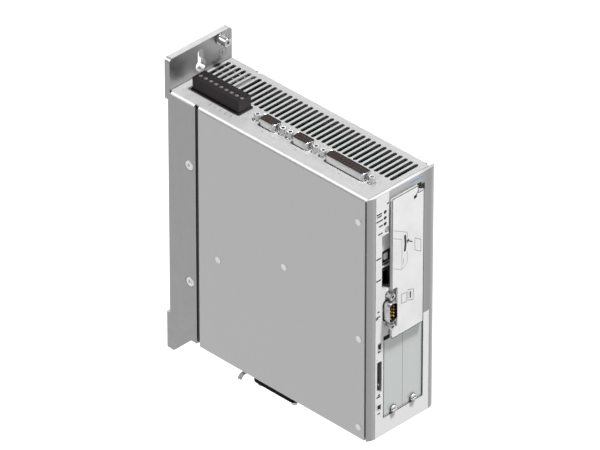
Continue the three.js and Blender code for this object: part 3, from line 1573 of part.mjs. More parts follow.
drive.add(part("control_board", controlBoard(), FINISH.circuitBoard));
drive.add(part("board_spacer_upper", boardSpacer(TOP - SPACER_FROM_END), FINISH.zincSteel));
drive.add(part("board_spacer_lower", boardSpacer(SPACER_FROM_END), FINISH.zincSteel));
drive.add(part("power_board", powerBoard(), FINISH.circuitBoard));
drive.add(part("link_capacitor_upper", linkCapacitor(0), FINISH.capacitorSleeve));
drive.add(part("link_capacitor_lower", linkCapacitor(1), FINISH.capacitorSleeve));
drive.add(part("mains_choke", mainsChoke(), FINISH.insulator));
drive.add(part("power_module", powerModule(), FINISH.insulator));
drive.add(part("fan_frame", fanFrame(), FINISH.blackPlastic));
drive.add(part("fan_rotor", fanRotor(), FINISH.blackPlastic));

export default drive;
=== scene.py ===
"""Looks of the servo drive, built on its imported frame: metres, +Z up, the front facing -Y."""

import logging
import math
from abc import ABC, abstractmethod
from collections.abc import Iterable, Sequence
from dataclasses import dataclass, field
from enum import Enum
from functools import cache

import bmesh
import bpy
from mathutils import Matrix, Vector


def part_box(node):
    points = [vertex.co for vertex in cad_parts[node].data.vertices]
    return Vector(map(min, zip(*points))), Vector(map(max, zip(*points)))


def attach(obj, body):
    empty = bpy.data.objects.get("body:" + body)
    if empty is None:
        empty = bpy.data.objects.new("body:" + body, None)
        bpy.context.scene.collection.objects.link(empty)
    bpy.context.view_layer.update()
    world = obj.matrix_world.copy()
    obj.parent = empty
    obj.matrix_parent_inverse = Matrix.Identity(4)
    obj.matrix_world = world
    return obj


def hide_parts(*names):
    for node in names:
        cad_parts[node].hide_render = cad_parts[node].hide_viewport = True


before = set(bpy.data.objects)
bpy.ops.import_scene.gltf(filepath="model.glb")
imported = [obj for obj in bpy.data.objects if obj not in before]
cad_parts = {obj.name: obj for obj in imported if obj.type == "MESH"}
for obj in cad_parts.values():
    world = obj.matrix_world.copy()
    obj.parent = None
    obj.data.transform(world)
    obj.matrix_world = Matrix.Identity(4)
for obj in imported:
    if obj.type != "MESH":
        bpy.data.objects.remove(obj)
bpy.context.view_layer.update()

MM = 0.001
log = logging.getLogger("servo_drive")

Point = tuple[float, float]
Colour = tuple[float, float, float]


class Axis(Enum):
    """A row axis, as its index."""

    X = 0
    Y = 1
    Z = 2


class Body(str, Enum):
    """The rigid bodies that built pieces ride on."""

    DRIVE = "drive"
    COVER = "slot_cover"
    PLUG = "supply_plug"
    BUTTON = "reset_button"


# ------------------------------------------------------------------ shader graph


class Value:
    """A shader socket that takes part in Python expressions by adding Math nodes."""

    def __init__(self, graph: "Graph", socket: bpy.types.NodeSocket) -> None:
        """Wraps a number socket of a graph."""
        self.graph = graph
        self.socket = socket

    def _maths(self, operation: str, first: object, second: object) -> "Value":
        """Adds one Math node.

        Args:
            operation: the node's operation.
            first: its first operand.
            second: its second operand.

        Returns:
            The node's result.
        """
        node = self.graph.node("ShaderNodeMath", {"operation": operation}, {0: first, 1: second})
        return Value(self.graph, node.outputs[0])

    def __add__(self, other: object) -> "Value":
        """self + other."""
        return self._maths("ADD", self, other)

    def __sub__(self, other: object) -> "Value":
        """self - other."""
        return self._maths("SUBTRACT", self, other)

    def __rsub__(self, other: object) -> "Value":
        """other - self."""
        return self._maths("SUBTRACT", other, self)

    def __mul__(self, other: object) -> "Value":
        """self * other."""
        return self._maths("MULTIPLY", self, other)

    def __gt__(self, other: object) -> "Value":
        """1 where self is above other, else 0."""
        return self._maths("GREATER_THAN", self, other)

    def __abs__(self) -> "Value":
        """The size of self, without its sign."""
        return self._maths("ABSOLUTE", self, 0.0)

    def ramp(self, low: float, high: float) -> "Value":
        """A smooth step from 0 at low to 1 at high.

        Args:
            low: the value that gives 0.
            high: the value that gives 1.

        Returns:
            The stepped value.
        """
        settings = {"interpolation_type": "SMOOTHSTEP"}
        inputs = {"Value": self, "From Min": low, "From Max": high}
        node = self.graph.node("ShaderNodeMapRange", settings, inputs)
        return Value(self.graph, node.outputs["Result"])


class Graph:
    """The node graph of one material."""

    def __init__(self, name: str) -> None:
        """Starts a material with one surface shader."""
        self.material = bpy.data.materials.new(name)
        self.material.use_nodes = True
        self.tree = self.material.node_tree
        self.tree.nodes.clear()
        self.shader = self.node("ShaderNodeBsdfPrincipled")
        output = self.node("ShaderNodeOutputMaterial")
        self.tree.links.new(self.shader.outputs[0], output.inputs[0])

    def node(
        self,
        kind: str,
        settings: dict[str, object] | None = None,
        inputs: dict[str | int, object] | None = None,
    ) -> bpy.types.Node:
        """Adds a node: settings first, then its sockets.

        Args:
            kind: the node's type.
            settings: attributes of the node.
            inputs: a number, colour, Value or socket for each named or numbered input.

        Returns:
            The new node.
        """
        node = self.tree.nodes.new(kind)
        for key, setting in (settings or {}).items():
            setattr(node, key, setting)
        for key, given in (inputs or {}).items():
            source = given.socket if isinstance(given, Value) else given
            if isinstance(source, bpy.types.NodeSocket):
                self.tree.links.new(source, node.inputs[key])
            else:
                node.inputs[key].default_value = source
        return node

    def place(self, stretch: Sequence[float] = (1, 1, 1)) -> bpy.types.NodeSocket:
        """The point on the piece, in metres, with each axis scaled.

        Args:
            stretch: the factor on each row axis.

        Returns:
            A vector socket.
        """
        point = self.node("ShaderNodeTexCoord").outputs["Object"]
        inputs = {0: point, 1: stretch}
        return self.node("ShaderNodeVectorMath", {"operation": "MULTIPLY"}, inputs).outputs[0]

    def noise(self, scale: float, detail: float = 2, stretch: Sequence[float] = (1, 1, 1)) -> Value:
        """Fractal noise over the piece.

        Args:
            scale: cycles per metre.
            detail: octaves.
            stretch: the factor on each row axis.

        Returns:
            Values from 0 to 1, mostly near 0.5.
        """
        inputs = {"Vector": self.place(stretch), "Scale": scale, "Detail": detail}
        return Value(self, self.node("ShaderNodeTexNoise", None, inputs).outputs["Fac"])

    def cells(self, scale: float) -> Value:
        """One random value for each crystal-like cell, `scale` cells to the metre."""
        inputs = {"Vector": self.place(), "Scale": scale}
        node = self.node("ShaderNodeTexVoronoi", {"feature": "F1"}, inputs)
        split = self.node("ShaderNodeSeparateColor", None, {0: node.outputs["Color"]})
        return Value(self, split.outputs[0])

    def coordinate(self, axis: Axis) -> Value:
        """The point's place along a row axis, in metres."""
        split = self.node("ShaderNodeSeparateXYZ", None, {0: self.place()})
        return Value(self, split.outputs[axis.value])

    def lean(self, axis: Axis) -> Value:
        """How far the piece's surface faces along an axis, either way, from 0 to 1."""
        normal = self.node("ShaderNodeTexCoord").outputs["Normal"]
        split = self.node("ShaderNodeSeparateXYZ", None, {0: normal})
        return abs(Value(self, split.outputs[axis.value]))

    def blend(self, share: Value, first: object, second: object) -> bpy.types.NodeSocket:
        """Mixes two colours.

        Args:
            share: 0 gives the first colour and 1 the second.
            first: a colour or a colour socket.
            second: a colour or a colour socket.

        Returns:
            A colour socket.
        """
        settings = {"data_type": "RGBA", "blend_type": "MIX"}
        inputs = {0: share, 6: _opaque(first), 7: _opaque(second)}
        return self.node("ShaderNodeMix", settings, inputs).outputs[2]

    def set(self, name: str, given: object) -> None:
        """Gives the surface shader a constant or a varying input."""
        socket = self.shader.inputs[name]
        if isinstance(given, Value):
            given = given.socket
        if isinstance(given, bpy.types.NodeSocket):
            self.tree.links.new(given, socket)
        else:
            socket.default_value = _opaque(given)

    def bump(self, height: Value, depth: float, strength: float = 1.0) -> None:
        """Raises the surface by a height map.

        Args:
            height: values from 0 to 1.
            depth: height of 1, in metres.
            strength: how much of the effect shows.
        """
        inputs = {"Height": height, "Distance": depth, "Strength": strength}
        self.set("Normal", self.node("ShaderNodeBump", None, inputs).outputs[0])


def _opaque(given: object) -> object:
    """A plain colour with its alpha, and anything else as it is."""
    if isinstance(given, tuple) and len(given) == 3:
        return (*given, 1.0)
    return given


def shade(colour: Colour, factor: float) -> Colour:
    """A colour made lighter or darker."""
    return tuple(min(1.0, channel * factor) for channel in colour)


def grey(level: float) -> Colour:
    """A neutral colour of a display level from 0 to 1."""
    linear = level / 12.92 if level <= 0.04045 else ((level + 0.055) / 1.055) ** 2.4
    return (linear, linear, linear)


# ------------------------------------------------------------------ finishes


@dataclass(frozen=True)
class Finish(ABC):
    """A surface finish and the slot of the record that it stands for."""

    name: str
    slot: str

    @abstractmethod
    def dress(self, graph: Graph) -> None:
        """Sets up the surface shader."""

    @cache
    def material(self) -> bpy.types.Material:
        """The finish's material, made once."""
        graph = Graph(self.name)
        self.dress(graph)
        return graph.material


@dataclass(frozen=True)
class SheetMetal(Finish):
    """Rolled or extruded metal with fine streaks along one axis and faint crystal cells."""

    colour: Colour
    metallic: float = 0.75
    roughness: float = 0.42
    streaks: Axis = Axis.Z
    streak_contrast: float = 0.05
    spangle: float = 0.03
    painted_highlight_axis: Axis | None = None  # painted highlight where the surface turns towards this axis, on the rolled bends
    painted_highlight_tone: float = 2.2
    slot_shade_axis: Axis | None = None  # painted shade where the surface turns towards this axis, on the walls of the vent slots
    slot_shade_tone: float = 0.3
    end_highlight_axis: Axis | None = None  # painted highlight where the surface turns towards this axis, on the faces that look up and down
    end_highlight_tone: float = 1.5
    streak_scale: float = 2600.0
    drift_scale: float = 14.0
    cell_scale: float = 210.0
    drift_contrast: float = 0.10
    spread: float = 0.38  # how far the darkest and lightest spots lie from the colour
    relief: float = 0.004 * MM

    def dress(self, graph: Graph) -> None:
        """Streaks and cells vary the colour and gloss; the streaks also stand in relief."""
        stretch = [1.0, 1.0, 1.0]
        stretch[self.streaks.value] = 0.02
        fine = graph.noise(self.streak_scale, 3, stretch)
        broad = graph.noise(self.drift_scale, 3)
        cells = graph.cells(self.cell_scale)
        tone = (
            (fine - 0.5) * (2 * self.streak_contrast)
            + (cells - 0.5) * (2 * self.spangle)
            + (broad - 0.5) * self.drift_contrast
            + 0.5
        )
        darker = shade(self.colour, 1 - self.spread)
        colour = graph.blend(tone, darker, shade(self.colour, 1 + self.spread))
        # painted highlight: lighter where the surface turns towards that axis, as if the rolled
        # bends caught the light
        if self.painted_highlight_axis:
            painted_highlight = graph.lean(self.painted_highlight_axis).ramp(0.2, 0.6)
            colour = graph.blend(painted_highlight, colour, shade(self.colour, self.painted_highlight_tone))
        # painted shade: darker where the surface turns towards that axis, on the walls of the vent
        # slots
        if self.slot_shade_axis:
            slot_shade = graph.lean(self.slot_shade_axis).ramp(0.65, 0.95)
            colour = graph.blend(slot_shade, colour, shade(self.colour, self.slot_shade_tone))
        # painted highlight: lighter where the surface turns towards that axis, on the faces that
        # look up and down
        if self.end_highlight_axis:
            end_highlight = graph.lean(self.end_highlight_axis).ramp(0.3, 0.6)
            colour = graph.blend(end_highlight, colour, shade(self.colour, self.end_highlight_tone))
        graph.set("Base Color", colour)
        graph.set("Metallic", self.metallic)
        graph.set("Roughness", (cells - 0.5) * 0.08 + (broad - 0.5) * 0.16 + self.roughness)
        graph.bump(fine, self.relief, 0.5)


@dataclass(frozen=True)
class Coating(Finish):
    """Paint or foil: a faint orange-peel surface with slight soiling."""

    colour: Colour
    roughness: float = 0.45
    metallic: float = 0.0
    grain: float = 900.0
    relief: float = 0.01 * MM
    edge_shade_axis: Axis | None = None  # painted shade where the surface turns towards this axis
    edge_shade_tone: float = 0.8
    shade_span: tuple[float, float] | None = None  # painted shade: from and to along the edge shade axis, where it darkens
    shade_span_tone: float = 0.66
    drift_scale: float = 22.0

    def dress(self, graph: Graph) -> None:
        """A fine relief, with colour and gloss that drift slightly."""
        peel = graph.noise(self.grain, 2)
        drift = graph.noise(self.drift_scale, 4)
        colour = graph.blend(drift, shade(self.colour, 0.95), shade(self.colour, 1.04))
        # painted shade: darker where the surface turns towards that axis
        if self.edge_shade_axis:
            edge = graph.lean(self.edge_shade_axis).ramp(0.02, 0.3)
            colour = graph.blend(edge, colour, shade(self.colour, self.edge_shade_tone))
        # painted shade: darker along that axis between the two ends of the span
        if self.edge_shade_axis and self.shade_span:
            far = graph.coordinate(self.edge_shade_axis).ramp(*self.shade_span)
            colour = graph.blend(far, colour, shade(self.colour, self.shade_span_tone))
        graph.set("Base Color", colour)
        graph.set("Metallic", self.metallic)
        graph.set("Roughness", (drift - 0.5) * 0.14 + self.roughness)
        graph.bump(peel, self.relief, 0.6)


@dataclass(frozen=True)
class Moulding(Finish):
    """Moulded plastic with a spark-eroded grain."""

    colour: Colour
    roughness: float = 0.5
    grain: float = 2200.0
    relief: float = 0.02 * MM
    coat: float = 0.0
    specular: float = 0.3
    face_shade_axis: Axis | None = None  # painted shade where the surface turns towards this axis
    face_shade_tone: float = 0.4
    flow_scale: float = 60.0

    def dress(self, graph: Graph) -> None:
        """The grain gives relief and gloss; flow marks vary the colour."""
        graph.set("Specular IOR Level", self.specular)
        grain = graph.noise(self.grain, 3)
        flow = graph.noise(self.flow_scale, 3)
        colour = graph.blend(flow, shade(self.colour, 0.88), shade(self.colour, 1.12))
        # painted shade: darker where the surface turns towards that axis
        if self.face_shade_axis:
            dull = graph.lean(self.face_shade_axis).ramp(0.3, 0.8)
            colour = graph.blend(dull, colour, shade(self.colour, self.face_shade_tone))
        graph.set("Base Color", colour)
        graph.set("Roughness", (grain - 0.5) * 0.3 + self.roughness)
        graph.set("Coat Weight", self.coat)
        graph.bump(grain, self.relief, 0.7)


@dataclass(frozen=True)
class Plating(Finish):
    """Plated metal: bright, with slight waviness and stains."""

    colour: Colour
    roughness: float = 0.22
    metallic: float = 1.0
    wave_scale: float = 420.0
    wave_depth: float = 0.02 * MM
    stain_scale: float = 130.0

    def dress(self, graph: Graph) -> None:
        """Waves in relief, and stains that dull the gloss."""
        wave = graph.noise(self.wave_scale, 2)
        stain = graph.noise(self.stain_scale, 4)
        stained, clean = shade(self.colour, 0.84), shade(self.colour, 1.1)
        graph.set("Base Color", graph.blend(stain, stained, clean))
        graph.set("Metallic", self.metallic)
        graph.set("Roughness", stain.ramp(0.35, 0.75) * 0.18 + self.roughness)
        graph.bump(wave, self.wave_depth, 0.4)


@dataclass(frozen=True)
class Laminate(Finish):
    """Circuit board: solder resist over copper runs, with tinned pads."""

    colour: Colour = (0.020, 0.085, 0.040)
    tin: Colour = (0.62, 0.60, 0.55)
    run_scale: float = 190.0
    pad_scale: float = 260.0
    pad_radius: float = 0.22  # as a share of the pads' spacing
    copper_depth: float = 0.03 * MM

    def dress(self, graph: Graph) -> None:
        """Lighter green over the runs and bright metal on the pads."""
        point = graph.place()
        runs = graph.node(
            "ShaderNodeTexBrick",
            {"offset": 0.37},
            {"Vector": point, "Scale": self.run_scale, "Mortar Size": 0.03, "Row Height": 0.21},
        )
        copper = Value(graph, runs.outputs["Fac"])
        inputs = {"Vector": point, "Scale": self.pad_scale}
        dots = graph.node("ShaderNodeTexVoronoi", {"feature": "F1"}, inputs)
        pads = (self.pad_radius - Value(graph, dots.outputs["Distance"])) > 0.0
        resist = graph.blend(copper, self.colour, shade(self.colour, 1.9))
        graph.set("Base Color", graph.blend(pads, resist, self.tin))
        graph.set("Metallic", pads * 0.9)
        graph.set("Roughness", pads * 0.1 + 0.32)
        graph.bump(copper, self.copper_depth, 0.6)


@dataclass(frozen=True)
class Wound(Finish):
    """Enamelled copper windings: close round turns across one axis."""

    colour: Colour = (0.36, 0.13, 0.045)
    turns: Axis = Axis.Z
    turn_scale: float = 130.0
    turn_depth: float = 0.3 * MM

    def dress(self, graph: Graph) -> None:
        """Bands of the turns in relief, dark between them."""
        stretch = [0.02, 0.02, 0.02]
        stretch[self.turns.value] = 1.0
        inputs = {"Vector": graph.place(stretch), "Scale": self.turn_scale}
        settings = {"wave_type": "BANDS", "bands_direction": self.turns.name}
        turn = Value(graph, graph.node("ShaderNodeTexWave", settings, inputs).outputs["Fac"])
        graph.set("Base Color", graph.blend(turn, shade(self.colour, 0.25), self.colour))
        graph.set("Metallic", 0.6)
        graph.set("Roughness", 0.5 - turn * 0.2)
        graph.bump(turn, self.turn_depth)


GALVANISED = SheetMetal(
    "galvanised_sheet",
    "galvanised",
    grey(0.57),
    0.35,
    0.5,
    Axis.Y,
    # painted highlight on the rolled bends
    painted_highlight_axis=Axis.X,
    # painted shade on the walls of the vent slots
    slot_shade_axis=Axis.Y,
)
SIDE_SHEET = SheetMetal(
    "side_cover_sheet", "galvanised", grey(0.79), 0.45, 0.5, Axis.Z, 0.03, 0.015
)
# painted highlight on the faces that look up and down
EXTRUSION = SheetMetal(
    "sink_extrusion", "aluminium", grey(0.66), 0.95, 0.38, Axis.Z, 0.09, 0.0, end_highlight_axis=Axis.Z
)
# painted shade on the curved sides
FRONT_PAINT = Coating(
    # painted shade darker towards the right edge
    "front_metal_paint", "front_metal", grey(0.72), 0.4, 0.5, edge_shade_axis=Axis.X, shade_span=(0.012, 0.027)
)
STUD = Plating("stud_zinc", "galvanised", grey(0.99), 0.35, 0.25)
# painted shade on the edges that face up and down
FOIL = Coating(
    "label_foil", "label", grey(0.86), 0.5, 0.0, 1500.0, edge_shade_axis=Axis.Z, edge_shade_tone=0.45
)
# painted shade on the faces that turn up and down
COVER_PLASTIC = Moulding(
    "cover_plastic", "white_cover", grey(0.865), 0.5, 1800.0, face_shade_axis=Axis.Z, face_shade_tone=0.34
)
BLANK_PAINT = Coating("blank_plate_paint", "blank_sheet", (0.560, 0.587, 0.580), 0.42, 0.4)
BEZEL_PAINT = Coating("bezel_paint", "blank_sheet", grey(0.93), 0.45)
MOTOR_BLACK = Moulding("motor_terminal_plastic", "black_plastic", grey(0.045), 0.6, specular=0.05)
BLACK = Moulding(
    "terminal_plastic",
    "black_plastic",
    (0.034, 0.029, 0.030),
    0.55,
    specular=0.15,
    # painted shade on the faces that turn up and down
    face_shade_axis=Axis.Z,
    face_shade_tone=0.2,
)
SOCKET_BLACK = Moulding("socket_plastic", "black_plastic", grey(0.09), 0.45)
DARK_INSERT = Moulding("insert_plastic", "insulator", (0.014, 0.011, 0.010), 0.6, specular=0.12)
PIN_FLOOR = Moulding("pin_floor_plastic", "insulator", (0.012, 0.007, 0.006), 0.5, specular=0.1)
NICKEL = Plating("nickel_plating", "nickel", grey(0.84))
CLAMP = Plating("clamp_plating", "zinc_steel", (0.085, 0.074, 0.071), 0.6, 0.3)
DULL_ZINC = Plating("dull_zinc_plating", "zinc_steel", grey(0.74), 0.5, 0.45)
DULL_CONTACT = Plating("dull_contacts", "nickel", (0.10, 0.075, 0.065), 0.5, 0.7)
ZINC = Plating("zinc_plating", "zinc_steel", grey(0.74), 0.32)
GOLD = Plating("gold_contacts", "nickel", (0.83, 0.56, 0.18), 0.2)
LENS = Moulding("lamp_lens", "lens", grey(0.06), 0.4, 300.0, 0.005 * MM, 0.1)
BUTTON_GREY = Moulding("button_plastic", "grey_button", grey(0.62), 0.45)
BOARD = Laminate("board_laminate", "circuit_board")
SLEEVE = Coating("capacitor_sleeve", "capacitor_sleeve", (0.022, 0.028, 0.042), 0.28)
WINDINGS = Wound("choke_windings", "insulator")
INK = Coating("label_ink", "label", grey(0.13), 0.55)
PALE_INK = Coating("label_grey_ink", "label", grey(0.55), 0.55)
GREEN_MARK = Moulding("switch_marking", "grey_button", (0.03, 0.16, 0.09), 0.5)
SHEET_INK = Coating("sheet_ink", "galvanised", grey(0.36), 0.55)
COVER_INK = Coating("cover_ink", "white_cover", grey(0.14), 0.5)
# painted shade along the slot cover's edges
COVER_EDGE_SHADE = Coating("cover_edge_shade", "white_cover", grey(0.34), 0.5)
COVER_LINES = Coating("cover_line_ink", "white_cover", grey(0.58), 0.5)
NAME_BAR = Coating("name_bar_ink", "front_metal", (0.22, 0.29, 0.44), 0.45)
BEZEL_LIGHT = Coating("bezel_light", "blank_sheet", grey(0.88), 0.45)


# ------------------------------------------------------------------ contours and stock

LEAST = 1e-6  # smallest radius that a circle shrinks to
LEAST_CORNER = 0.02 * MM
D_SLOPE = math.radians(10)  # how far the ends of a data connector lean in


@dataclass(frozen=True)
class Contour(ABC):
    """A closed outline whose rings keep their point count at any offset."""

    @abstractmethod
    def ring(self, offset: float = 0.0) -> list[Point]:
        """The outline grown by an offset, counter-clockwise."""


@dataclass(frozen=True)
class Round(Contour):
    """A circle."""

    radius: float
    sides: int = 32

    def ring(self, offset: float = 0.0) -> list[Point]:
        """Points of the circle grown by an offset."""
        radius = max(self.radius + offset, LEAST)
        turns = [i * 2 * math.pi / self.sides for i in range(self.sides)]
        return [(radius * math.cos(turn), radius * math.sin(turn)) for turn in turns]


@dataclass(frozen=True)
class Polygon(Contour):
    """A regular polygon measured across its flats, with extra points along each side."""

    flats: float
    sides: int = 6
    steps: int = 4

    def ring(self, offset: float = 0.0) -> list[Point]:
        """Points of the polygon grown by an offset."""
        radius = (self.flats / 2 + offset) / math.cos(math.pi / self.sides)
        turns = [i * 2 * math.pi / self.sides for i in range(self.sides)]
        corners = [Vector((math.cos(turn), math.sin(turn))) * radius for turn in turns]
        points = []
        for i, corner in enumerate(corners):
            after = corners[(i + 1) % self.sides]
            points += [tuple(corner.lerp(after, step / self.steps)) for step in range(self.steps)]
        return points


@dataclass(frozen=True)
class Segment(Contour):
    """Half a disc, less half a slot beside its diameter."""

    radius: float
    slot: float
    side: int
    steps: int = 14

    def ring(self, offset: float = 0.0) -> list[Point]:
        """Points of the half disc grown by an offset."""
        radius = self.radius + offset
        start = math.asin((self.slot / 2 - offset) / radius)
        sweep = math.pi - 2 * start
        turns = [start + sweep * i / self.steps for i in range(self.steps + 1)]
        return [(self.side * radius * math.cos(t), self.side * radius * math.sin(t)) for t in turns]


@dataclass(frozen=True)
class Rounded(Contour):
    """A polygon with rounded corners."""

    corners: tuple[Point, ...]
    radius: float
    steps: int = 5

    def ring(self, offset: float = 0.0) -> list[Point]:
        """Points of the outline grown by an offset."""
        count = len(self.corners)
        moved = [self._moved(i, offset) for i in range(count)]
        radius = max(self.radius + offset, LEAST_CORNER)
        points = []
        for i, corner in enumerate(moved):
            before = (moved[i - 1] - corner).normalized()
            after = (moved[(i + 1) % count] - corner).normalized()
            half = math.acos(max(-1.0, min(1.0, before.dot(after)))) / 2
            centre = corner + (before + after).normalized() * (radius / math.sin(half))
            start = corner + before * (radius / math.tan(half)) - centre
            sweep = math.pi - 2 * half
            for step in range(self.steps + 1):
                angle = math.atan2(start.y, start.x) + sweep * step / self.steps
                point = centre + Vector((math.cos(angle), math.sin(angle))) * radius
                points.append((point.x, point.y))
        return points

    def _moved(self, index: int, offset: float) -> Vector:
        """A corner of the grown polygon.

        Args:
            index: which corner.
            offset: how far the sides move out.

        Returns:
            Where the two grown sides meet.
        """
        count = len(self.corners)
        corner = Vector(self.corners[index])
        before = (corner - Vector(self.corners[index - 1])).normalized()
        after = (Vector(self.corners[(index + 1) % count]) - corner).normalized()
        normals = Vector((before.y, -before.x)), Vector((after.y, -after.x))
        return corner + (normals[0] + normals[1]) * (offset / (1 + normals[0].dot(normals[1])))


def rectangle(width: float, height: float, radius: float, steps: int = 5) -> Rounded:
    """A rounded rectangle round the origin."""
    x, y = width / 2, height / 2
    return Rounded(((-x, -y), (x, -y), (x, y), (-x, y)), radius, steps)


def d_shape(length: float, height: float, radius: float = 2.4 * MM) -> Rounded:
    """The D outline of a data connector, its wide side towards +y."""
    x, y = length / 2, height / 2
    narrow = x - height * math.tan(D_SLOPE)
    return Rounded(((-narrow, -y), (narrow, -y), (x, y), (-x, y)), radius, 6)


Profile = list[Point]  # (offset of the contour, height) from start to end


def profile(level: float, *points: Point) -> Profile:
    """Profile points given in millimetres, with heights counted from a level in metres."""
    return [(offset * MM, level + height * MM) for offset, height in points]


def spaced(count: int, pitch: float) -> list[float]:
    """Evenly spaced places round zero."""
    return [(i - (count - 1) / 2) * pitch for i in range(count)]


def rounded_edge(radius: float, height: float, steps: int = 4) -> Profile:
    """Profile of a quarter-round upper edge that ends at a height."""
    turns = [i * math.pi / 2 / steps for i in range(steps + 1)]
    return [(radius * (math.cos(t) - 1), height - radius * (1 - math.sin(t))) for t in turns]


Level = tuple[Contour, float, float]  # contour, its offset and its height


class Stock:
    """A mesh under construction, in the row frame or a placed local one."""

    def __init__(self, placement: Matrix | None = None) -> None:
        """Starts an empty mesh whose parts are laid out in a local frame."""
        self.mesh = bmesh.new()
        self.placement = placement or Matrix.Identity(4)

    def sweep(self, contour: Contour, rise: Profile, centre: Point = (0, 0)) -> "Stock":
        """Adds a closed solid made of a contour's rings, capped at both ends.

        Args:
            contour: the outline in the local x-y plane.
            rise: offset and height of each ring.
            centre: where the contour's origin lies.

        Returns:
            The stock.
        """
        return self.stack([(contour, offset, height) for offset, height in rise], centre)

    def stack(self, levels: Sequence[Level], centre: Point = (0, 0)) -> "Stock":
        """Adds a closed solid through rings of several contours with one point count.

        Args:
            levels: contour, offset and height of each ring.
            centre: where the contours' origin lies.

        Returns:
            The stock.
        """
        return self._capped([self._ring(*level, centre) for level in levels])

    def sleeve(self, contour: Contour, rise: Profile, centre: Point = (0, 0)) -> "Stock":
        """Adds a tube: up the outside, over the lip, down the inside and back.

        Args:
            contour: the outline in the local x-y plane.
            rise: offset and height of each ring, ending where it can close on the first.
            centre: where the contour's origin lies.

        Returns:
            The stock.
        """
        rings = [self._ring(contour, offset, height, centre) for offset, height in rise]
        self._skin([*rings, rings[0]])
        return self

    def _ring(self, contour: Contour, offset: float, height: float, centre: Point) -> list:
        """Vertices of one ring."""
        return [
            self.mesh.verts.new(self.placement @ Vector((x + centre[0], y + centre[1], height)))
            for x, y in contour.ring(offset)
        ]

    def _capped(self, rings: list) -> "Stock":
        """Joins the rings and closes both ends."""
        self._skin(rings)
        self.mesh.faces.new(list(reversed(rings[0])))
        self.mesh.faces.new(rings[-1])
        return self

    def _skin(self, rings: list) -> None:
        """Joins each ring to the next with quads."""
        for low, high in zip(rings, rings[1:]):
            for i in range(len(low)):
                j = (i + 1) % len(low)
                self.mesh.faces.new((low[i], low[j], high[j], high[i]))

    def block(
        self, low: Sequence[float], high: Sequence[float], edge: float = 0.15 * MM
    ) -> "Stock":
        """Adds a box between two corners with rounded vertical and top edges.

        Args:
            low: lowest corner in the local frame.
            high: highest corner in the local frame.
            edge: radius of the edges.

        Returns:
            The stock.
        """
        size = [b - a for a, b in zip(low, high)]
        edge = min(edge, *(side / 2.5 for side in size))
        middle = ((low[0] + high[0]) / 2, (low[1] + high[1]) / 2)
        contour = rectangle(size[0], size[1], edge, 2)
        foot = [(-edge, low[2]), (-0.3 * edge, low[2] + 0.3 * edge), (0.0, low[2] + edge)]
        return self.sweep(contour, [*foot, *rounded_edge(edge, high[2], 2)], middle)

    def ribbon(self, start: Point, end: Point, width: float, thick: float) -> "Stock":
        """Adds a flat ribbon between two points of the local x-y plane.

        Args:
            start: where it starts.
            end: where it ends.
            width: its width.
            thick: its height above the plane.

        Returns:
            The stock.
        """
        run = (Vector(end) - Vector(start)).normalized()
        side = Vector((-run.y, run.x)) * (width / 2)
        rails = []
        for point in (Vector(start), Vector(end)):
            corners = [(*(point + side), 0), (*(point - side), 0)]
            corners += [(*(point - side), thick), (*(point + side), thick)]
            rails.append([self.mesh.verts.new(self.placement @ Vector(p)) for p in corners])
        return self._capped(rails)

    def piece(
        self,
        name: str,
        finish: Finish,
        body: Body = Body.DRIVE,
        replaces: Iterable[str] = (),
        smooth_angle: float = 35.0,
    ) -> bpy.types.Object:
        """Turns the stock into a finished piece that rides on a body.

        Args:
            name: the piece's name.
            finish: its surface finish.
            body: the body it rides on.
            replaces: frame nodes it stands for.
            smooth_angle: edges sharper than this stay sharp.

        Returns:
            The new object.
        """
        bmesh.ops.recalc_face_normals(self.mesh, faces=self.mesh.faces)
        data = bpy.data.meshes.new(name)
        self.mesh.to_mesh(data)
        self.mesh.free()
        data.materials.append(finish.material())
        data.shade_smooth()
        data.set_sharp_from_angle(angle=math.radians(smooth_angle))
        made = bpy.data.objects.new(name, data)
        bpy.context.scene.collection.objects.link(made)
        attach(made, body.value)
        if replaces:
            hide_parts(*replaces)
        log.info("%s: %d faces, on %s", name, len(data.polygons), body.value)
        return made


def facing(axis: Axis, sign: int, origin: Sequence[float], turn: float = 0.0) -> Matrix:
    """A local frame whose z points along a row axis.

    Args:
        axis: the axis that local z follows.
        sign: 1 or -1 along it.
        origin: where the local origin lies.
        turn: rotation about local z, in degrees.

    Returns:
        The placement. Unturned, local y points up on the sides and to +Y on top.
    """
    z = Vector((0, 0, 0))
    z[axis.value] = sign
    y = Vector((0, 1, 0)) if axis is Axis.Z else Vector((0, 0, 1))
    x = y.cross(z)
    basis = Matrix((x, y, z)).transposed().to_4x4()
    return Matrix.Translation(origin) @ basis @ Matrix.Rotation(math.radians(turn), 4, "Z")


def standing(node: str, axis: Axis, sign: int, turn: float = 0.0) -> Matrix:
    """A local frame through the middle of a frame node, starting at zero along an axis.

    Args:
        node: the frame node.
        axis: the axis that local z follows.
        sign: 1 or -1 along it.
        turn: rotation about local z, in degrees.

    Returns:
        The placement.
    """
    low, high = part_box(node)
    middle = (low + high) / 2
    middle[axis.value] = 0.0
    return facing(axis, sign, middle, turn)


def reach(node: str, axis: Axis, sign: int) -> tuple[float, float]:
    """Where a frame node starts and ends in a direction.

    Args:
        node: the frame node.
        axis: the axis to measure along.
        sign: 1 or -1 along it.

    Returns:
        The inner end and the outer end.
    """
    ends = sorted(corner[axis.value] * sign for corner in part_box(node))
    return ends[0], ends[1]


def on_front(y: float) -> Matrix:
    """Frame of a face that looks forward, x to the right and y up."""
    return facing(Axis.Y, -1, (0, y, 0))


def millimetre_box(level: float, low: Sequence[float], high: Sequence[float]) -> list[Vector]:
    """Two corners given in millimetres, with heights counted from a level in metres."""
    return [Vector(corner) * MM + Vector((0, 0, level)) for corner in (low, high)]


FRONT = on_front(0.0)
PRINT_THICK = 0.02 * MM
STRAP_FACE = -4.9 * MM  # y of the upper strap's front


# ------------------------------------------------------------------ housing


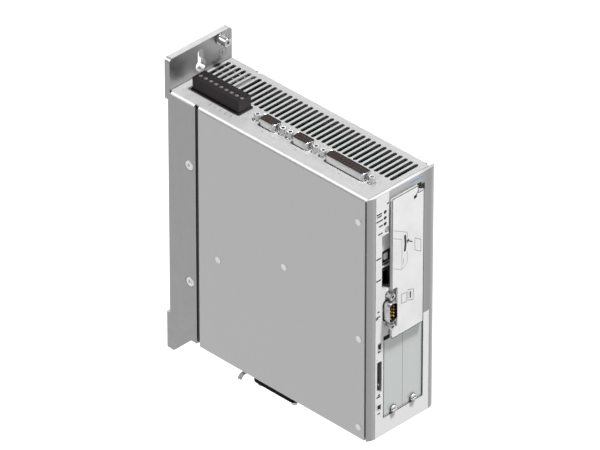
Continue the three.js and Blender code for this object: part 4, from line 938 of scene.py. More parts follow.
@dataclass
class Housing:
    """Sheets, heat sink and front: frame nodes with softened edges and their finishes."""

    edge_break: float = 0.18 * MM
    weld: float = 0.002 * MM
    stud_radius: float = 2.72 * MM
    groove_shade_x: float = 29.4 * MM
    groove_shade_y: tuple[float, float] = (-35.6 * MM, -30.3 * MM)
    groove_shade_thick: float = 0.7 * MM
    studs: tuple[Point, ...] = (  # from the front and up, in millimetres
        (148.2, 83.1),
        (82.9, 108.5),
        (11, 180),
        (10, 83.3),
        (10, 8.9),
    )
    finishes: dict[str, Finish] = field(
        default_factory=lambda: {
            "heat_sink": EXTRUSION,
            "top_panel": GALVANISED,
            "bottom_panel": GALVANISED,
            "side_cover_left": SIDE_SHEET,
            "side_cover_right": SIDE_SHEET,
            "front_plate": FRONT_PAINT,
            "front_label": FOIL,
            "slot_cover": COVER_PLASTIC,
            "blank_plate_left": BLANK_PAINT,
            "blank_plate_right": BLANK_PAINT,
            "shield_clip": DULL_ZINC,
            "port_bezel": BEZEL_PAINT,
            "supply_plug": BLACK,
            "usb_socket": NICKEL,
            "rj45_socket": SOCKET_BLACK,
            "card_socket": SOCKET_BLACK,
            "terminator_switch": SOCKET_BLACK,
            "boot_switch": SOCKET_BLACK,
            "terminator_lever": GREEN_MARK,
            "boot_lever": BUTTON_GREY,
            "reset_switch": BLACK,
            "control_board": BOARD,
            "power_board": BOARD,
            "board_spacer_upper": ZINC,
            "board_spacer_lower": ZINC,
            "power_module": DARK_INSERT,
            "fan_frame": BLACK,
            "fan_rotor": BLACK,
            "mains_choke": WINDINGS,
            "link_capacitor_upper": SLEEVE,
            "link_capacitor_lower": SLEEVE,
        }
    )
    rounded: tuple[str, ...] = (
        "slot_cover",
        "supply_plug",
        "usb_socket",
        "fan_frame",
        "fan_rotor",
        "power_module",
    )

    def build(self) -> None:
        """Finishes every frame node that stays on show."""
        for node, finish in self.finishes.items():
            self.dress(node, finish)
        self._studs()
        self._groove_shades()

    def _studs(self) -> None:
        """Bright faces of the flush studs in the left cover."""
        face = -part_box("side_cover_left")[0].x
        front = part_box("front_plate")[0].y
        disc = profile(face, (-0.05, -0.2), (0, -0.08), (-0.1, 0), (-1.5, 0.01))
        stock = Stock(facing(Axis.X, -1, (0, 0, 0)))
        for from_front, up in self.studs:
            centre = (-(front + from_front * MM), up * MM)
            stock.sweep(Round(self.stud_radius, 32), disc, centre)
        stock.piece("cover_stud_faces", STUD)

    def _groove_shades(self) -> None:
        """Black strips inside the covers that fill the grooves before the heat sink: painted shade
        in the grooves.
        """
        low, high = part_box("side_cover_left")
        front, rear = self.groove_shade_y
        stock = Stock()
        for side in (-1, 1):
            near, far = sorted((side * self.groove_shade_x, side * (self.groove_shade_x + self.groove_shade_thick)))
            end = (far, rear, high.z - 1 * MM)
            stock.block((near, front, low.z + 2 * MM), end, 0.2 * MM)
        stock.piece("groove_shade_strips", SOCKET_BLACK)

    def dress(self, node: str, finish: Finish) -> None:
        """Gives one frame node its finish and breaks its edges.

        Args:
            node: the frame node.
            finish: its surface finish.
        """
        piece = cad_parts[node]
        piece.data.materials.clear()
        piece.data.materials.append(finish.material())
        weld = piece.modifiers.new("weld", "WELD")
        weld.merge_threshold = self.weld
        if node in self.rounded:
            bevel = piece.modifiers.new("edge_break", "BEVEL")
            bevel.width = self.edge_break
            bevel.segments = 2
            bevel.limit_method = "ANGLE"
            bevel.angle_limit = math.radians(40)
            bevel.harden_normals = False
        log.info("%s: frame node in %s", node, finish.name)


# ------------------------------------------------------------------ data connectors

SHELL_LENGTHS = {9: 16.9 * MM, 15: 25.2 * MM, 25: 38.9 * MM}  # of the collar, by contacts


@dataclass
class DataConnector:
    """A D-shaped connector: drawn shell, insert, contacts and jackscrews."""

    name: str
    poles: int
    axis: Axis
    sign: int
    turn: float
    socket: bool = True
    jackscrews: bool = True
    pitch: float = 2.77 * MM
    row_pitch: float = 2.84 * MM
    shell_wall: float = 0.5 * MM
    shell_height: float = 8.3 * MM
    flange_height: float = 12.5 * MM
    flange_thick: float = 0.8 * MM
    gap: float = 0.02 * MM  # between the collar and the flange's parts
    shoulder_drop: float = 0.3 * MM  # from the flange's back to the insert's shoulder
    body_margin: float = 2.2 * MM  # how much larger the insert's body is than the collar
    contact_radius: float = 0.62 * MM
    pin_radius: float = 0.6 * MM
    across_flats: float = 4.75 * MM
    hexagon_height: float = 4.85 * MM
    shank_radius: float = 1.3 * MM
    washer_radius: float = 2.95 * MM
    placement: Matrix = field(init=False)
    back: float = field(init=False)
    lip: float = field(init=False)
    length: float = field(init=False)

    def build(self) -> None:
        """Builds the connector's pieces in place of its frame nodes."""
        shell = f"{self.name}_shell"
        self.placement = standing(shell, self.axis, self.sign, self.turn)
        self.back, self.lip = reach(shell, self.axis, self.sign)
        self.length = SHELL_LENGTHS[self.poles]
        self._shell(shell)
        self._insert(f"{self.name}_insert")
        if self.jackscrews:
            for letter in "ab":
                self._jackscrew(f"{self.name}_jackscrew_{letter}")

    def _shell(self, node: str) -> None:
        """Flange with a drawn collar that has a rolled lip."""
        wall = self.shell_wall / MM
        foot = [(0, self.back), (0, self.back + self.flange_thick)]
        outside = profile(self.lip, (0, -0.3), (-0.09, -0.09), (-wall / 2, 0))
        inside = profile(self.lip, (0.05 - wall, -0.1), (-wall, -0.3))
        stock = Stock(self.placement)
        collar = d_shape(self.length, self.shell_height)
        stock.sleeve(collar, [*foot, *outside, *inside, (-self.shell_wall, self.back)])
        low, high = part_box(node)
        self._flange(stock, max(high - low) / 2)
        stock.piece(f"{self.name}_drawn_shell", NICKEL, replaces=[node])

    def _flange(self, stock: Stock, half: float) -> None:
        """Flange plate: two ears and two rails round the collar.

        Args:
            stock: the shell's mesh.
            half: half the flange's length.
        """
        top, rise = self.back + self.flange_thick, self.flange_height / 2
        inner, collar = self.length / 2 + self.gap, self.shell_height / 2 + self.gap
        for side in (-1, 1):
            near, far = sorted((side * inner, side * half))
            stock.block((near, -rise, self.back), (far, rise, top), 0.2 * MM)
            near, far = sorted((side * collar, side * rise))
            stock.block((-inner, near, self.back), (inner, far, top), 0.05 * MM)

    def _insert(self, node: str) -> None:
        """Plastic insert: a raised socket face, or a floor inside a rim for pins."""
        rear = reach(node, self.axis, self.sign)[0]
        face = self.lip - 0.25 * MM if self.socket else self.back + 1.4 * MM
        shoulder = self.back - self.shoulder_drop
        margin = self.body_margin
        body = rectangle(self.length + margin, self.shell_height + margin, 0.6 * MM)
        stock = Stock(self.placement)
        stock.sweep(body, [(0, rear), *rounded_edge(0.3 * MM, shoulder, 2)])
        length = self.length - 2 * self.shell_wall - 0.4 * MM
        plug = d_shape(length, self.shell_height - 1.4 * MM, 2.0 * MM)
        stock.sweep(plug, [(0, shoulder - 0.2 * MM), *rounded_edge(0.25 * MM, face, 3)])
        if not self.socket:
            rim = profile(self.lip, (0, -0.3), (-0.3, -0.3))
            stock.sleeve(plug, [(0, shoulder), *rim, (-0.3 * MM, shoulder)])
        finish = DARK_INSERT if self.socket else PIN_FLOOR
        stock.piece(f"{self.name}_moulded_insert", finish, replaces=[node])
        self._contacts(face, shoulder)

    def _contacts(self, face: float, shoulder: float) -> None:
        """Sleeves sunk into the socket's face, or pins that stand on the shoulder.

        Args:
            face: height of the insert's face.
            shoulder: height that pins start from.
        """
        stock = Stock(self.placement)
        mouth = profile(face, (0, -1), (0, 0.04), (-0.2, 0.04), (-0.25, -1))
        tip = profile(self.lip, (0, -1.5), (-0.16, -1.15), (-0.36, -1))
        for place in self._contact_places():
            if self.socket:
                stock.sleeve(Round(self.contact_radius, 14), mouth, place)
            else:
                stock.sweep(Round(self.pin_radius, 14), [(0, shoulder), *tip], place)
        stock.piece(f"{self.name}_contacts", DULL_CONTACT if self.socket else GOLD)

    def _contact_places(self) -> list[Point]:
        """Places of the contacts: the longer row lies on the wide side of the D."""
        longer = math.ceil(self.poles / 2)
        rows = ((longer, 1), (self.poles - longer, -1))
        return [
            (place, side * self.row_pitch / 2)
            for count, side in rows
            for place in spaced(count, self.pitch)
        ]

    def _jackscrew(self, node: str) -> None:
        """A hexagonal jackscrew with chamfered ends, an open mouth and a washer."""
        foot, tip = reach(node, self.axis, self.sign)
        seat = tip - self.hexagon_height
        stock = Stock(standing(node, self.axis, self.sign, self.turn + 30))
        outside = [*profile(seat, (-0.3, 0), (0, 0.25)), *profile(tip, (0, -0.3), (-0.35, 0))]
        mouth = profile(tip, (-1.1, 0), (-1.2, -0.35), (-1.2, -3.6), (-2.2, -4))
        stock.sweep(Polygon(self.across_flats), [*outside, *mouth])
        shank = [*profile(foot, (-0.2, 0), (0, 0.3)), (0, seat + 0.1 * MM)]
        stock.sweep(Round(self.shank_radius, 20), shank)
        washer = profile(seat, (-0.05, -0.02), (0, 0.1), (0, 0.5), (-0.1, 0.6))
        stock.sweep(Round(self.washer_radius, 28), washer)
        stock.piece(f"{node}_turned", NICKEL, replaces=[node])


# ------------------------------------------------------------------ power terminals


@dataclass
class SupplyTerminal:
    """Supply terminal: the header, and the clamps and ribs in the plug's top."""

    poles: int = 9
    pitch: float = 5.08 * MM
    well: float = 3.6 * MM
    well_depth: float = 4.9 * MM
    well_from_edge: float = 5.9 * MM
    spigot: float = 5.3 * MM
    wall: float = 1.6 * MM
    collar: float = 1.0 * MM
    clamp_radius: float = 1.7 * MM
    rib: float = 0.4 * MM  # width and height
    plug_low: Vector = field(init=False)
    plug_high: Vector = field(init=False)

    def build(self) -> None:
        """Builds the header, the clamps and the ribs."""
        self.plug_low, self.plug_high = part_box("supply_plug")
        self._header()
        self._clamps()
        self._ribs()

    def _header(self) -> None:
        """Collar on the sheet over a hollow body."""
        low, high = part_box("supply_header")
        inset = (high.x - low.x - (self.plug_high.x - self.plug_low.x)) / 2
        inner, seat = inset + self.wall, high.z - self.collar
        rise = [(-inset, low.z), (-inset, seat), (0, seat), *profile(high.z, (0, -0.3), (-0.3, 0))]
        rise += [(-inner, high.z), (-inner, high.z - self.spigot)]
        outline = rectangle(high.x - low.x, high.y - low.y, 1.0 * MM, 4)
        stock = Stock().sweep(outline, rise, ((low.x + high.x) / 2, (low.y + high.y) / 2))
        stock.piece("supply_terminal_header", BLACK, replaces=["supply_header"])

    def _well_centres(self) -> list[Point]:
        """Centre of each wire well, seen from above."""
        middle = (self.plug_low.y + self.plug_high.y) / 2
        x = self.plug_low.x + self.well_from_edge
        return [(x, middle + place) for place in spaced(self.poles, self.pitch)]

    def _clamps(self) -> None:
        """Domed clamp screws down in the wells."""
        top = self.plug_high.z
        dome = profile(top, (0, -0.9), (-0.25, -0.55), (-0.8, -0.4), (-1.3, -0.35))
        stock = Stock()
        for centre in self._well_centres():
            stock.sweep(Round(self.clamp_radius, 24), [(0, top - self.well_depth), *dome], centre)
        stock.piece("supply_plug_clamps", CLAMP, Body.PLUG)

    def _ribs(self) -> None:
        """Raised ribs between the poles on the inner half of the plug's top."""
        top, half = self.plug_high.z, self.rib / 2
        left = self.plug_low.x + self.well_from_edge + self.well / 2 + 0.5 * MM
        right = self.plug_high.x - 0.8 * MM
        stock = Stock()
        for _, y in self._well_centres()[:-1]:
            edge = y + self.pitch / 2
            low = (left, edge - half, top - self.rib)
            stock.block(low, (right, edge + half, top - 0.01 * MM), 0.08 * MM)
        stock.piece("supply_plug_ribs", BLACK, Body.PLUG)


@dataclass
class MotorTerminal:
    """Motor terminal under the housing: a moulded bar with round ends and wire wells."""

    poles: int = 4
    pitch: float = 6.6 * MM
    end_radius: float = 4.6 * MM
    well_radius: float = 2.5 * MM

    def build(self) -> None:
        """Builds the bar and the rims of its wells."""
        low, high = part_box("motor_plug")
        placement = standing("motor_plug", Axis.Z, -1)
        drop = -low.z
        step = [(-0.6 * MM, -high.z), *profile(0, (-0.6, -0.4), (0, 0.2))]
        outline = rectangle(high.x - low.x, high.y - low.y, self.end_radius, 8)
        stock = Stock(placement).sweep(outline, [*step, *rounded_edge(0.8 * MM, drop, 4)])
        stock.piece("motor_terminal", MOTOR_BLACK, replaces=["motor_plug"])
        rim = profile(drop, (0, -0.6), (0, -0.02), (-0.5, -0.02), (-0.6, -0.6))
        wells = Stock(placement)
        for place in spaced(self.poles, self.pitch):
            wells.sleeve(Round(self.well_radius, 24), rim, (0, place))
        wells.piece("motor_terminal_wells", SOCKET_BLACK)


# ------------------------------------------------------------------ fasteners


class Drive(Enum):
    """How a screw is turned."""

    SOCKET = "socket"
    SLOT = "slot"


@dataclass
class Screw:
    """A turned screw standing in for a frame node."""

    node: str
    axis: Axis
    sign: int
    head_radius: float
    head_height: float
    shank_radius: float
    drive: Drive
    width: float  # across the socket's flats, or of the slot
    edge: float = 0.25 * MM
    washer: tuple[float, float] | None = None  # radius and thickness
    finish: Finish = ZINC
    deepest: float = 2.2 * MM  # no socket goes further down
    face: float = field(init=False)

    def build(self) -> None:
        """Builds the screw from its seat and tip."""
        tip, self.face = reach(self.node, self.axis, self.sign)
        seat = self.face - self.head_height
        stock = Stock(standing(self.node, self.axis, self.sign))
        if self.drive is Drive.SOCKET:
            self._socket_head(stock, seat)
        else:
            self._slotted_head(stock, seat)
        if self.washer:
            radius, thick = self.washer
            disc = profile(seat - thick, (-0.1, 0), (0, 0.1))
            stock.sweep(Round(radius, 36), [*disc, *profile(seat, (0, -0.05), (-0.1, 0.05))])
        shank = [*profile(tip, (-0.3, 0), (0, 0.3)), (0, seat + 0.1 * MM)]
        stock.sweep(Round(self.shank_radius, 24), shank)
        stock.piece(f"{self.node}_turned", self.finish, replaces=[self.node])

    def _socket_head(self, stock: Stock, seat: float) -> None:
        """Head with a hexagon socket."""
        floor = self.face - min(0.75 * self.head_height, self.deepest)
        outside = [*profile(seat, (-0.1, 0), (0, 0.1)), *rounded_edge(self.edge, self.face, 4)]
        socket = [*profile(self.face, (0.12, 0), (0, -0.12)), (0, floor)]
        socket += [(0.1 * MM - 0.5 * self.width, floor)]
        body, hexagon = Round(self.head_radius, 24), Polygon(self.width)
        stock.stack([(body, *point) for point in outside] + [(hexagon, *point) for point in socket])

    def _slotted_head(self, stock: Stock, seat: float) -> None:
        """Head with a straight slot."""
        floor = self.face - 0.45 * self.head_height
        base = [*profile(seat, (-0.1, 0), (0, 0.1)), (0, floor)]
        stock.sweep(Round(self.head_radius, 36), base)
        cheek = [(0, floor - 0.01 * MM), *rounded_edge(self.edge, self.face, 4)]
        for side in (-1, 1):
            stock.sweep(Segment(self.head_radius, self.width, side), cheek)


PAN_HEAD = (2.6 * MM, 1.9 * MM, 1.3 * MM, Drive.SLOT, 0.7 * MM, 0.7 * MM)
FLUSH_HEAD = (3.9 * MM, 1.1 * MM, 1.5 * MM, Drive.SOCKET, 2.8 * MM, 0.35 * MM)
LOCKING_HEAD = (2.4 * MM, 3.4 * MM, 1.5 * MM, Drive.SLOT, 0.8 * MM, 0.4 * MM)
EARTH_HEAD = (3.4 * MM, 7.0 * MM, 1.9 * MM, Drive.SOCKET, 2.4 * MM, 0.5 * MM)
EARTH_WASHER = (4.2 * MM, 0.9 * MM)
SCREWS = (
    Screw("blank_screw_left", Axis.Y, -1, *PAN_HEAD, finish=DULL_ZINC),
    Screw("blank_screw_right", Axis.Y, -1, *PAN_HEAD, finish=DULL_ZINC),
    Screw("strip_screw_upper", Axis.X, -1, *FLUSH_HEAD, finish=STUD),
    Screw("strip_screw_lower", Axis.X, -1, *FLUSH_HEAD, finish=STUD),
    Screw("motor_plug_screw_a", Axis.Z, -1, *LOCKING_HEAD),
    Screw("motor_plug_screw_b", Axis.Z, -1, *LOCKING_HEAD),
    Screw("earth_screw", Axis.Y, -1, *EARTH_HEAD, EARTH_WASHER, NICKEL),
)


# ------------------------------------------------------------------ front details


@dataclass
class FrontDetails:
    """What shows through the windows of the front plate, and round the blank plates."""

    lens_radius: float = 1.15 * MM
    lens_pitch: float = 4.85 * MM
    stem_radius: float = 1.0 * MM
    collar_radius: float = 2.9 * MM
    cap_radius: float = 1.95 * MM
    device_pitch: float = 1.3 * MM
    network_pitch: float = 1.02 * MM
    guide_x: tuple[float, float] = (-4.6 * MM, 18.2 * MM)
    frame_x: float = -13.3 * MM  # middle of the black frames round the ports
    frame_width: float = 8.8 * MM
    frame_rim: float = 1.9 * MM
    frame_heights: tuple[Point, ...] = (
        (142.1 * MM, 151.9 * MM),
        (123.0 * MM, 138.0 * MM),
    )
    gap_shade_width: float = 0.6 * MM
    screw_shade_radius: float = 3.1 * MM

    def build(self) -> None:
        """Builds the pieces in turn."""
        self._lamps()
        self._button()
        self._device_socket()
        self._network_socket()
        self._slot_guide()
        self._port_frames()
        self._gap_shade()
        self._screw_shades()

    def _lamps(self) -> None:
        """Light guide with three domed lenses."""
        low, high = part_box("led_light_guide")
        x, face, back = (low.x + high.x) / 2, -low.y, -high.y
        bar_face = back + 2.5 * MM
        top = high.z - 1.8 * MM
        dome = [(0, bar_face - 0.1 * MM)]
        dome += profile(face, (0, -0.35), (-0.12, -0.15), (-0.45, -0.03), (-0.9, 0))
        stock = Stock(facing(Axis.Y, -1, (x, 0, 0)))
        stock.block((low.x - x, low.z, back), (high.x - x, high.z, bar_face), 0.2 * MM)
        for i in range(3):
            stock.sweep(Round(self.lens_radius, 24), dome, (0, top - i * self.lens_pitch))
        stock.piece("lamp_lenses", LENS, replaces=["led_light_guide"])

    def _button(self) -> None:
        """Reset button: dished face, collar and stem."""
        back, face = reach("reset_button", Axis.Y, -1)
        stock = Stock(standing("reset_button", Axis.Y, -1))
        stem = profile(back, (-0.1, 0), (0, 0.1), (0, 1.9))
        stock.sweep(Round(self.stem_radius, 24), stem)
        collar = profile(back, (0, 1.6), (0, 2.5), (-0.1, 2.6))
        stock.sweep(Round(self.collar_radius, 36), collar)
        cap = [(0, back + 2.5 * MM), *rounded_edge(0.3 * MM, face, 4)]
        cap += profile(face, (-0.7, -0.02), (-1.3, -0.22), (-1.8, -0.25))
        stock.sweep(Round(self.cap_radius, 36), cap)
        stock.piece("reset_button_cap", BUTTON_GREY, Body.BUTTON, ["reset_button"])

    def _device_socket(self) -> None:
        """Black liner of the device socket and the contacts on its tongue."""
        low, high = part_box("usb_socket")
        left, right, face = low.x + 1.7 * MM, high.x - 2.0 * MM, -low.y
        x, z = (left + right) / 2, (low.z + high.z) / 2
        outline = rectangle(right - left - 0.1 * MM, high.z - low.z - 3.8 * MM, 0.3 * MM, 3)
        liner = Stock(FRONT)
        liner.sleeve(outline, profile(face, (0, -9), (0, -0.1), (-0.8, -0.1), (-0.8, -9)), (x, z))
        liner.piece("device_socket_liner", SOCKET_BLACK)
        strips = Stock(FRONT)
        near, far, half = x - 1.75 * MM, x - 1.6 * MM, 0.3 * MM
        for place in spaced(4, self.device_pitch):
            start = (near, z + place - half, face - 8 * MM)
            strips.block(start, (far, z + place + half, face - 0.9 * MM), 0.03 * MM)
        strips.piece("device_socket_contacts", GOLD)

    def _network_socket(self) -> None:
        """Sprung contacts of the network socket, at one side of its mouth."""
        low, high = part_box("rj45_socket")
        z, face = (low.z + high.z) / 2, -low.y
        near, far, half = low.x + 7.0 * MM, low.x + 7.7 * MM, 0.17 * MM
        stock = Stock(FRONT)
        for place in spaced(8, self.network_pitch):
            start = (near, z + place - half, face - 11 * MM)
            stock.block(start, (far, z + place + half, face - 1.6 * MM), 0.04 * MM)
        stock.piece("network_socket_contacts", GOLD)

    def _slot_guide(self) -> None:
        """Dark guide behind the module slot, seen past the cover's notch."""
        low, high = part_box("slot_cover")
        left, right = self.guide_x
        back = high.y + 0.6 * MM
        end = (right, back + 1.2 * MM, high.z - 2.2 * MM)
        stock = Stock().block((left, back, low.z + 9.0 * MM), end, 0.2 * MM)
        stock.piece("module_slot_guide", SOCKET_BLACK)

    def _port_frames(self) -> None:
        """Black frames round the two mouths in the bezel, a bar between them and a shutter."""
        face = -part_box("port_bezel")[0].y
        rim = self.frame_rim / MM
        ring = profile(face, (0, 0), (0, 0.2), (-rim, 0.2), (-rim, 0))
        frames = Stock(FRONT)
        for low, high in self.frame_heights:
            outline = rectangle(self.frame_width, high - low, 0.3 * MM, 3)
            frames.sleeve(outline, ring, (self.frame_x, (low + high) / 2))
        frames.block(*millimetre_box(face, (-18.5, 140.2, 0), (-9.2, 141.4, 0.2)), 0.05 * MM)
        frames.piece("port_frames", SOCKET_BLACK)
        bars = Stock(FRONT)
        bars.block(*millimetre_box(face, (-18.7, 138.4, 0), (-9.2, 139.8, 0.25)), 0.05 * MM)
        bars.block(*millimetre_box(face, (-14.2, 144.2, -6), (-10.6, 150.4, 0.1)), 0.2 * MM)
        bars.piece("port_bars", BEZEL_LIGHT)

    def _gap_shade(self) -> None:
        """Dark strips in the gap round the two blank plates: painted shade in the gap."""
        low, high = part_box("blank_plate_left")[0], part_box("blank_plate_right")[1]
        left, right, bottom = low.x - 0.1 * MM, high.x + 0.1 * MM, low.z - 0.1 * MM
        line = [(left, high.z), (left, bottom), (right, bottom), (right, high.z)]
        stock = Stock(on_front(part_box("front_label")[0].y))
        for start, end in zip(line, line[1:]):
            stock.ribbon(start, end, self.gap_shade_width, PRINT_THICK)
        stock.piece("option_slot_gap_shade", SOCKET_BLACK)

    def _screw_shades(self) -> None:
        """Black rings round the two screws of the blank plates: painted shade round their heads."""
        seat = -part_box("front_label")[0].y
        ring = profile(seat, (0, 0), (0, 0.2), (-0.45, 0.2), (-0.45, 0))
        stock = Stock(FRONT)
        for node in ("blank_screw_left", "blank_screw_right"):
            low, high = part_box(node)
            centre = ((low.x + high.x) / 2, (low.z + high.z) / 2)
            stock.sleeve(Round(self.screw_shade_radius, 32), ring, centre)
        stock.piece("blank_screw_shade_rings", SOCKET_BLACK)


# ------------------------------------------------------------------ printing

Stroke = tuple[float, float, float, float]  # start and end, in millimetres


@dataclass
class Print:
    """Printed marks in one ink on one face."""

    name: str
    finish: Finish
    face: Matrix
    strokes: Sequence[Stroke]
    width: float = 0.5 * MM
    body: Body = Body.DRIVE

    def build(self) -> None:
        """Builds every stroke as a thin ribbon on the face."""
        stock = Stock(self.face)
        for x0, y0, x1, y1 in self.strokes:
            start, end = (x0 * MM, y0 * MM), (x1 * MM, y1 * MM)
            stock.ribbon(start, end, self.width, PRINT_THICK)
        stock.piece(self.name, self.finish, self.body)


def path_strokes(*corners: Point) -> list[Stroke]:
    """Strokes along an open line."""
    return [(*a, *b) for a, b in zip(corners, corners[1:])]


def outline_strokes(*corners: Point) -> list[Stroke]:
    """Strokes round a closed polygon."""
    return path_strokes(*corners, corners[0])


def label_prints(face: Matrix) -> list[Print]:
    """Rows of plain dashes on the foil label, in place of its wording.

    Args:
        face: frame of the label's surface, x to the right and y up.

    Returns:
        The prints.
    """
    rows = [(-24.9, 187.4, 5.2), (-24.4, 185.5, 4.4), (-25.1, 181.7, 6.2), (-22.6, 177.2, 3.6)]
    rows += [(-23.4, 170.8, 4.4), (-25.1, 150.6, 4.8), (-25.1, 132.6, 4.8), (-23.6, 106.4, 1.8)]
    rows += [(-24.9, 102.2, 3.8), (-23.0, 72.8, 2.4), (-24.2, 34.6, 3.8), (-23.0, 20.4, 2.4)]
    rows += [(-15.0, 193.0, 1.9), (-25.1, 101.0, 2.0), (-22.8, 36.2, 2.0)]
    dashes = [(x, z, x + length, z) for x, z, length in rows]
    frames = outline_strokes((-22.9, 72), (-19.9, 72), (-19.9, 79.8), (-22.9, 79.8))
    bars = [(-24.8, z, -23.2, z) for z in (64.2, 66.4, 28.6, 26.8, 24.8)]
    # a black patch on the label: painted shade of the finger recess
    recess_shade = [(18.6, 190.2, 22.2, 190.2)]
    return [
        Print("finger_recess_shade", SOCKET_BLACK, face, recess_shade, 5.6 * MM),
        Print("label_dashes", INK, face, dashes, 1.15 * MM),
        Print("label_lines", PALE_INK, face, [*bars, *frames], 0.4 * MM),
    ]


def cover_prints(face: Matrix) -> list[Print]:
    """Pictograms on the slot cover: how the card goes in, and where to read about it.

    Args:
        face: frame of the cover's surface, x to the right and y up.

    Returns:
        The prints.
    """
    case = [(-10.2, 169.2, 3.1, 161.8), (3.1, 161.8, 3.1, 152), (-10.4, 162.8, -2.1, 158.2)]
    case += [(-2.1, 158.2, -2.0, 133.2), (-10.4, 137.8, -2.0, 133.2), (3.1, 146, 3.2, 136.2)]
    case += [(-0.4, 142, -0.3, 136.6), (-2.0, 133.2, 3.2, 136.2)]
    card = outline_strokes((10.6, 153.6), (16.6, 149.4), (16.6, 139.6), (10.8, 143.4))
    book = outline_strokes((-2.3, 112.6), (3.0, 111.6), (3.0, 104.0), (-2.3, 105.0))
    book += outline_strokes((4.2, 113.4), (9.6, 111.4), (9.6, 102.6), (4.2, 104.6))
    slot = [(0.8, 160.4, 1.4, 153.6), (1.4, 154.2, 0.8, 147.0)]
    # a dark line round the cover's edges: painted shade along its edges
    shade_outline = [(-11.55, 112.0), (-11.55, 195.25), (13.4, 195.25), (13.4, 189.45), (19.25, 189.45)]
    shade_outline += [(19.25, 80.3), (18.7, 79.75), (-11.0, 79.75), (-11.55, 80.3), (-11.55, 82.0)]
    edges = path_strokes(*shade_outline)
    arrows = [(8.2, 151.6, 3.0, 155.0), (3.0, 155.0, 5.2, 155.2), (3.0, 155.0, 3.8, 152.9)]
    arrows += [(13.8, 191.2, 10.6, 187.8)]
    heads = [(12.2, 189.0, 9.8, 186.6), (10.2, 188.6, 9.8, 186.6), (9.8, 186.6, 12.2, 187.4)]
    heads += [(6.6, 110.8, 6.6, 105.4)]
    return [
        Print("cover_edge_shade_line", COVER_EDGE_SHADE, face, edges, 0.7 * MM, Body.COVER),
        Print("cover_pictogram_lines", COVER_LINES, face, case, 0.4 * MM, Body.COVER),
        Print("cover_pictogram_cards", COVER_INK, face, [*card, *book], 0.3 * MM, Body.COVER),
        Print("cover_pictogram_slot", COVER_INK, face, slot, 2.0 * MM, Body.COVER),
        Print("cover_pictogram_arrows", COVER_INK, face, arrows, 0.8 * MM, Body.COVER),
        Print("cover_pictogram_heads", COVER_INK, face, heads, 1.3 * MM, Body.COVER),
    ]


def sheet_prints(face: Matrix) -> list[Print]:
    """Faint marks on the top sheet: one beside each pole and one beside each connector.

    Args:
        face: frame of the sheet's upper face, x to the right and y towards the wall.

    Returns:
        The prints.
    """
    poles = [(-24.6, -37.4 - 5.08 * i, -22.0, -37.4 - 5.08 * i) for i in range(5)]
    ports = [(-22.4, y, -20.6, y) for y in (-87.0, -119.0, -161.6)]
    return [Print("sheet_marks", SHEET_INK, face, [*poles, *ports], 0.6 * MM)]


def build_printing() -> None:
    """Prints the label, the slot cover, the front plate, the top sheet and the earth mark."""
    plate = on_front(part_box("front_plate")[0].y)
    bar = [(8, 198.8, 22, 198.8)]
    earth = [(21.2, 208.6, 21.2, 212.4), (19.4, 210.6, 23.0, 210.6), (20.0, 209.7, 22.4, 209.7)]
    earth += [(20.6, 208.8, 21.8, 208.8)]
    earth += outline_strokes((18.0, 207.6), (24.4, 207.6), (24.4, 213.4), (18.0, 213.4))
    for printed in (
        *label_prints(on_front(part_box("front_label")[0].y)),
        *cover_prints(on_front(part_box("slot_cover")[0].y)),
        *sheet_prints(facing(Axis.Z, 1, (0, 0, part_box("top_panel")[1].z))),
        Print("name_bar", NAME_BAR, plate, bar, 1.5 * MM),
        Print("earth_mark", SHEET_INK, on_front(STRAP_FACE), earth, 0.35 * MM),
    ):
        printed.build()


# ------------------------------------------------------------------ studio


@dataclass
class SoftBox:
    """A square area lamp that faces a point."""

    name: str
    place: tuple[float, float, float]
    target: tuple[float, float, float]
    size: float  # side of the square, in metres
    power: float  # in watts

    def build(self) -> None:
        """Adds the lamp to the scene."""
        data = bpy.data.lights.new(self.name, "AREA")
        data.size = self.size
        data.energy = self.power
        lamp = bpy.data.objects.new(self.name, data)
        lamp.location = self.place
        way = Vector(self.target) - Vector(self.place)
        lamp.rotation_euler = way.to_track_quat("-Z", "Y").to_euler()
        bpy.context.scene.collection.objects.link(lamp)


LAMPS = (
    SoftBox("key", (0.4, -0.93, 2.95), (0.0, -0.2, 0.1), 0.36, 222.0),
    SoftBox("fill_left", (-1.7, -0.9, -0.5), (0.0, -0.1, 0.1), 1.2, 3.6),
    SoftBox("rim_left", (-2.2, 1.9, 2.2), (0.0, -0.1, 0.1), 1.0, 42.0),
    SoftBox("rim_right", (2.35, 2.25, 2.3), (0.0, -0.1, 0.1), 1.3, 11.0),
)


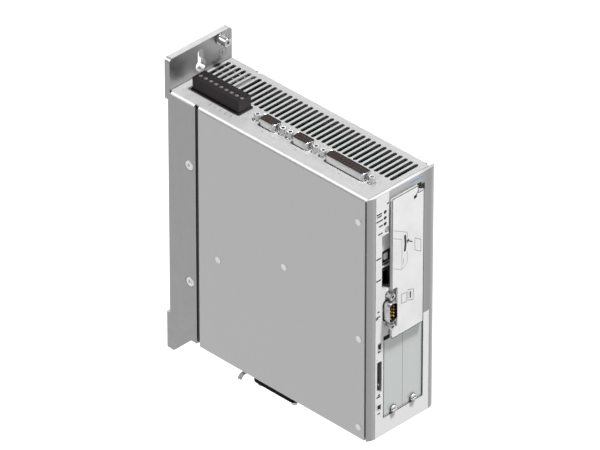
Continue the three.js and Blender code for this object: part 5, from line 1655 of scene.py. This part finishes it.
@dataclass
class Studio:
    """Camera, lights and floor."""

    azimuth: float = -45.145
    elevation: float = 34.002
    distance: float = 6.14963
    lens: float = 528.8
    aim: tuple[float, float, float] = (0.0013, -0.101, 0.101)
    rise: float = 0.015606  # the camera's shift upwards
    slide: float = 0.000094  # and to its right
    floor_level: float = -1.6
    floor_half: float = 14.0
    ambient: float = 0.12

    def build(self) -> None:
        """Sets up the camera, the lights and the floor."""
        self._camera()
        self._floor()
        self._world()
        for lamp in LAMPS:
            lamp.build()
        bpy.context.scene.view_settings.view_transform = "Standard"

    def _camera(self) -> None:
        """Places the camera round the aim and shifts it in its own plane."""
        turn, rise = math.radians(self.azimuth), math.radians(self.elevation)
        flat = math.cos(rise)
        back = Vector((math.sin(turn) * flat, -math.cos(turn) * flat, math.sin(rise)))
        right = Vector((math.cos(turn), math.sin(turn), 0))
        up = back.cross(right)
        data = bpy.data.cameras.new("camera")
        data.lens = self.lens
        data.sensor_width = 36.0
        data.clip_end = 60.0
        camera = bpy.data.objects.new("camera", data)
        shift = right * self.slide + up * self.rise
        camera.location = Vector(self.aim) + back * self.distance + shift
        basis = Matrix((right, up, back)).transposed()
        camera.rotation_euler = basis.to_euler()
        bpy.context.scene.collection.objects.link(camera)
        bpy.context.scene.camera = camera

    def _floor(self) -> None:
        """A pale, evenly lit floor well below the drive."""
        graph = Graph("studio_floor")
        tone = graph.noise(1.5, 2)
        graph.set("Base Color", graph.blend(tone, grey(0.58), grey(0.62)))
        graph.set("Roughness", 0.9)
        beyond = (graph.coordinate(Axis.X) + graph.coordinate(Axis.Y)).ramp(0.6, 1.8)
        graph.set("Emission Color", graph.blend(beyond, grey(0.76), grey(1.0)))
        graph.set("Emission Strength", 1.05)
        mesh = bmesh.new()
        corners = [(-1, -1), (1, -1), (1, 1), (-1, 1)]
        half, level = self.floor_half, self.floor_level
        mesh.faces.new([mesh.verts.new((x * half, y * half, level)) for x, y in corners])
        data = bpy.data.meshes.new("floor")
        mesh.to_mesh(data)
        mesh.free()
        data.materials.append(graph.material)
        floor = bpy.data.objects.new("floor", data)
        bpy.context.scene.collection.objects.link(floor)

    def _world(self) -> None:
        """Even soft light from all round."""
        world = bpy.data.worlds.new("studio")
        world.use_nodes = True
        background = world.node_tree.nodes["Background"]
        background.inputs["Color"].default_value = (1, 1, 1, 1)
        background.inputs["Strength"].default_value = self.ambient
        bpy.context.scene.world = world


# ------------------------------------------------------------------ making


def main() -> None:
    """Builds the sub-assemblies in order."""
    logging.basicConfig(level=logging.INFO, format="%(message)s")
    Housing().build()
    for connector in (
        DataConnector("signal_port", 25, Axis.Z, 1, -90),
        DataConnector("encoder_port", 9, Axis.Z, 1, -90),
        DataConnector("resolver_port", 9, Axis.Z, 1, -90),
        DataConnector("bus_port", 9, Axis.Y, -1, 90, socket=False),
        DataConnector("feedback_port", 15, Axis.Z, -1, 90, jackscrews=False),
    ):
        connector.build()
    SupplyTerminal().build()
    MotorTerminal().build()
    for screw in SCREWS:
        screw.build()
    FrontDetails().build()
    build_printing()
    Studio().build()


if __name__ == "__main__":
    main()
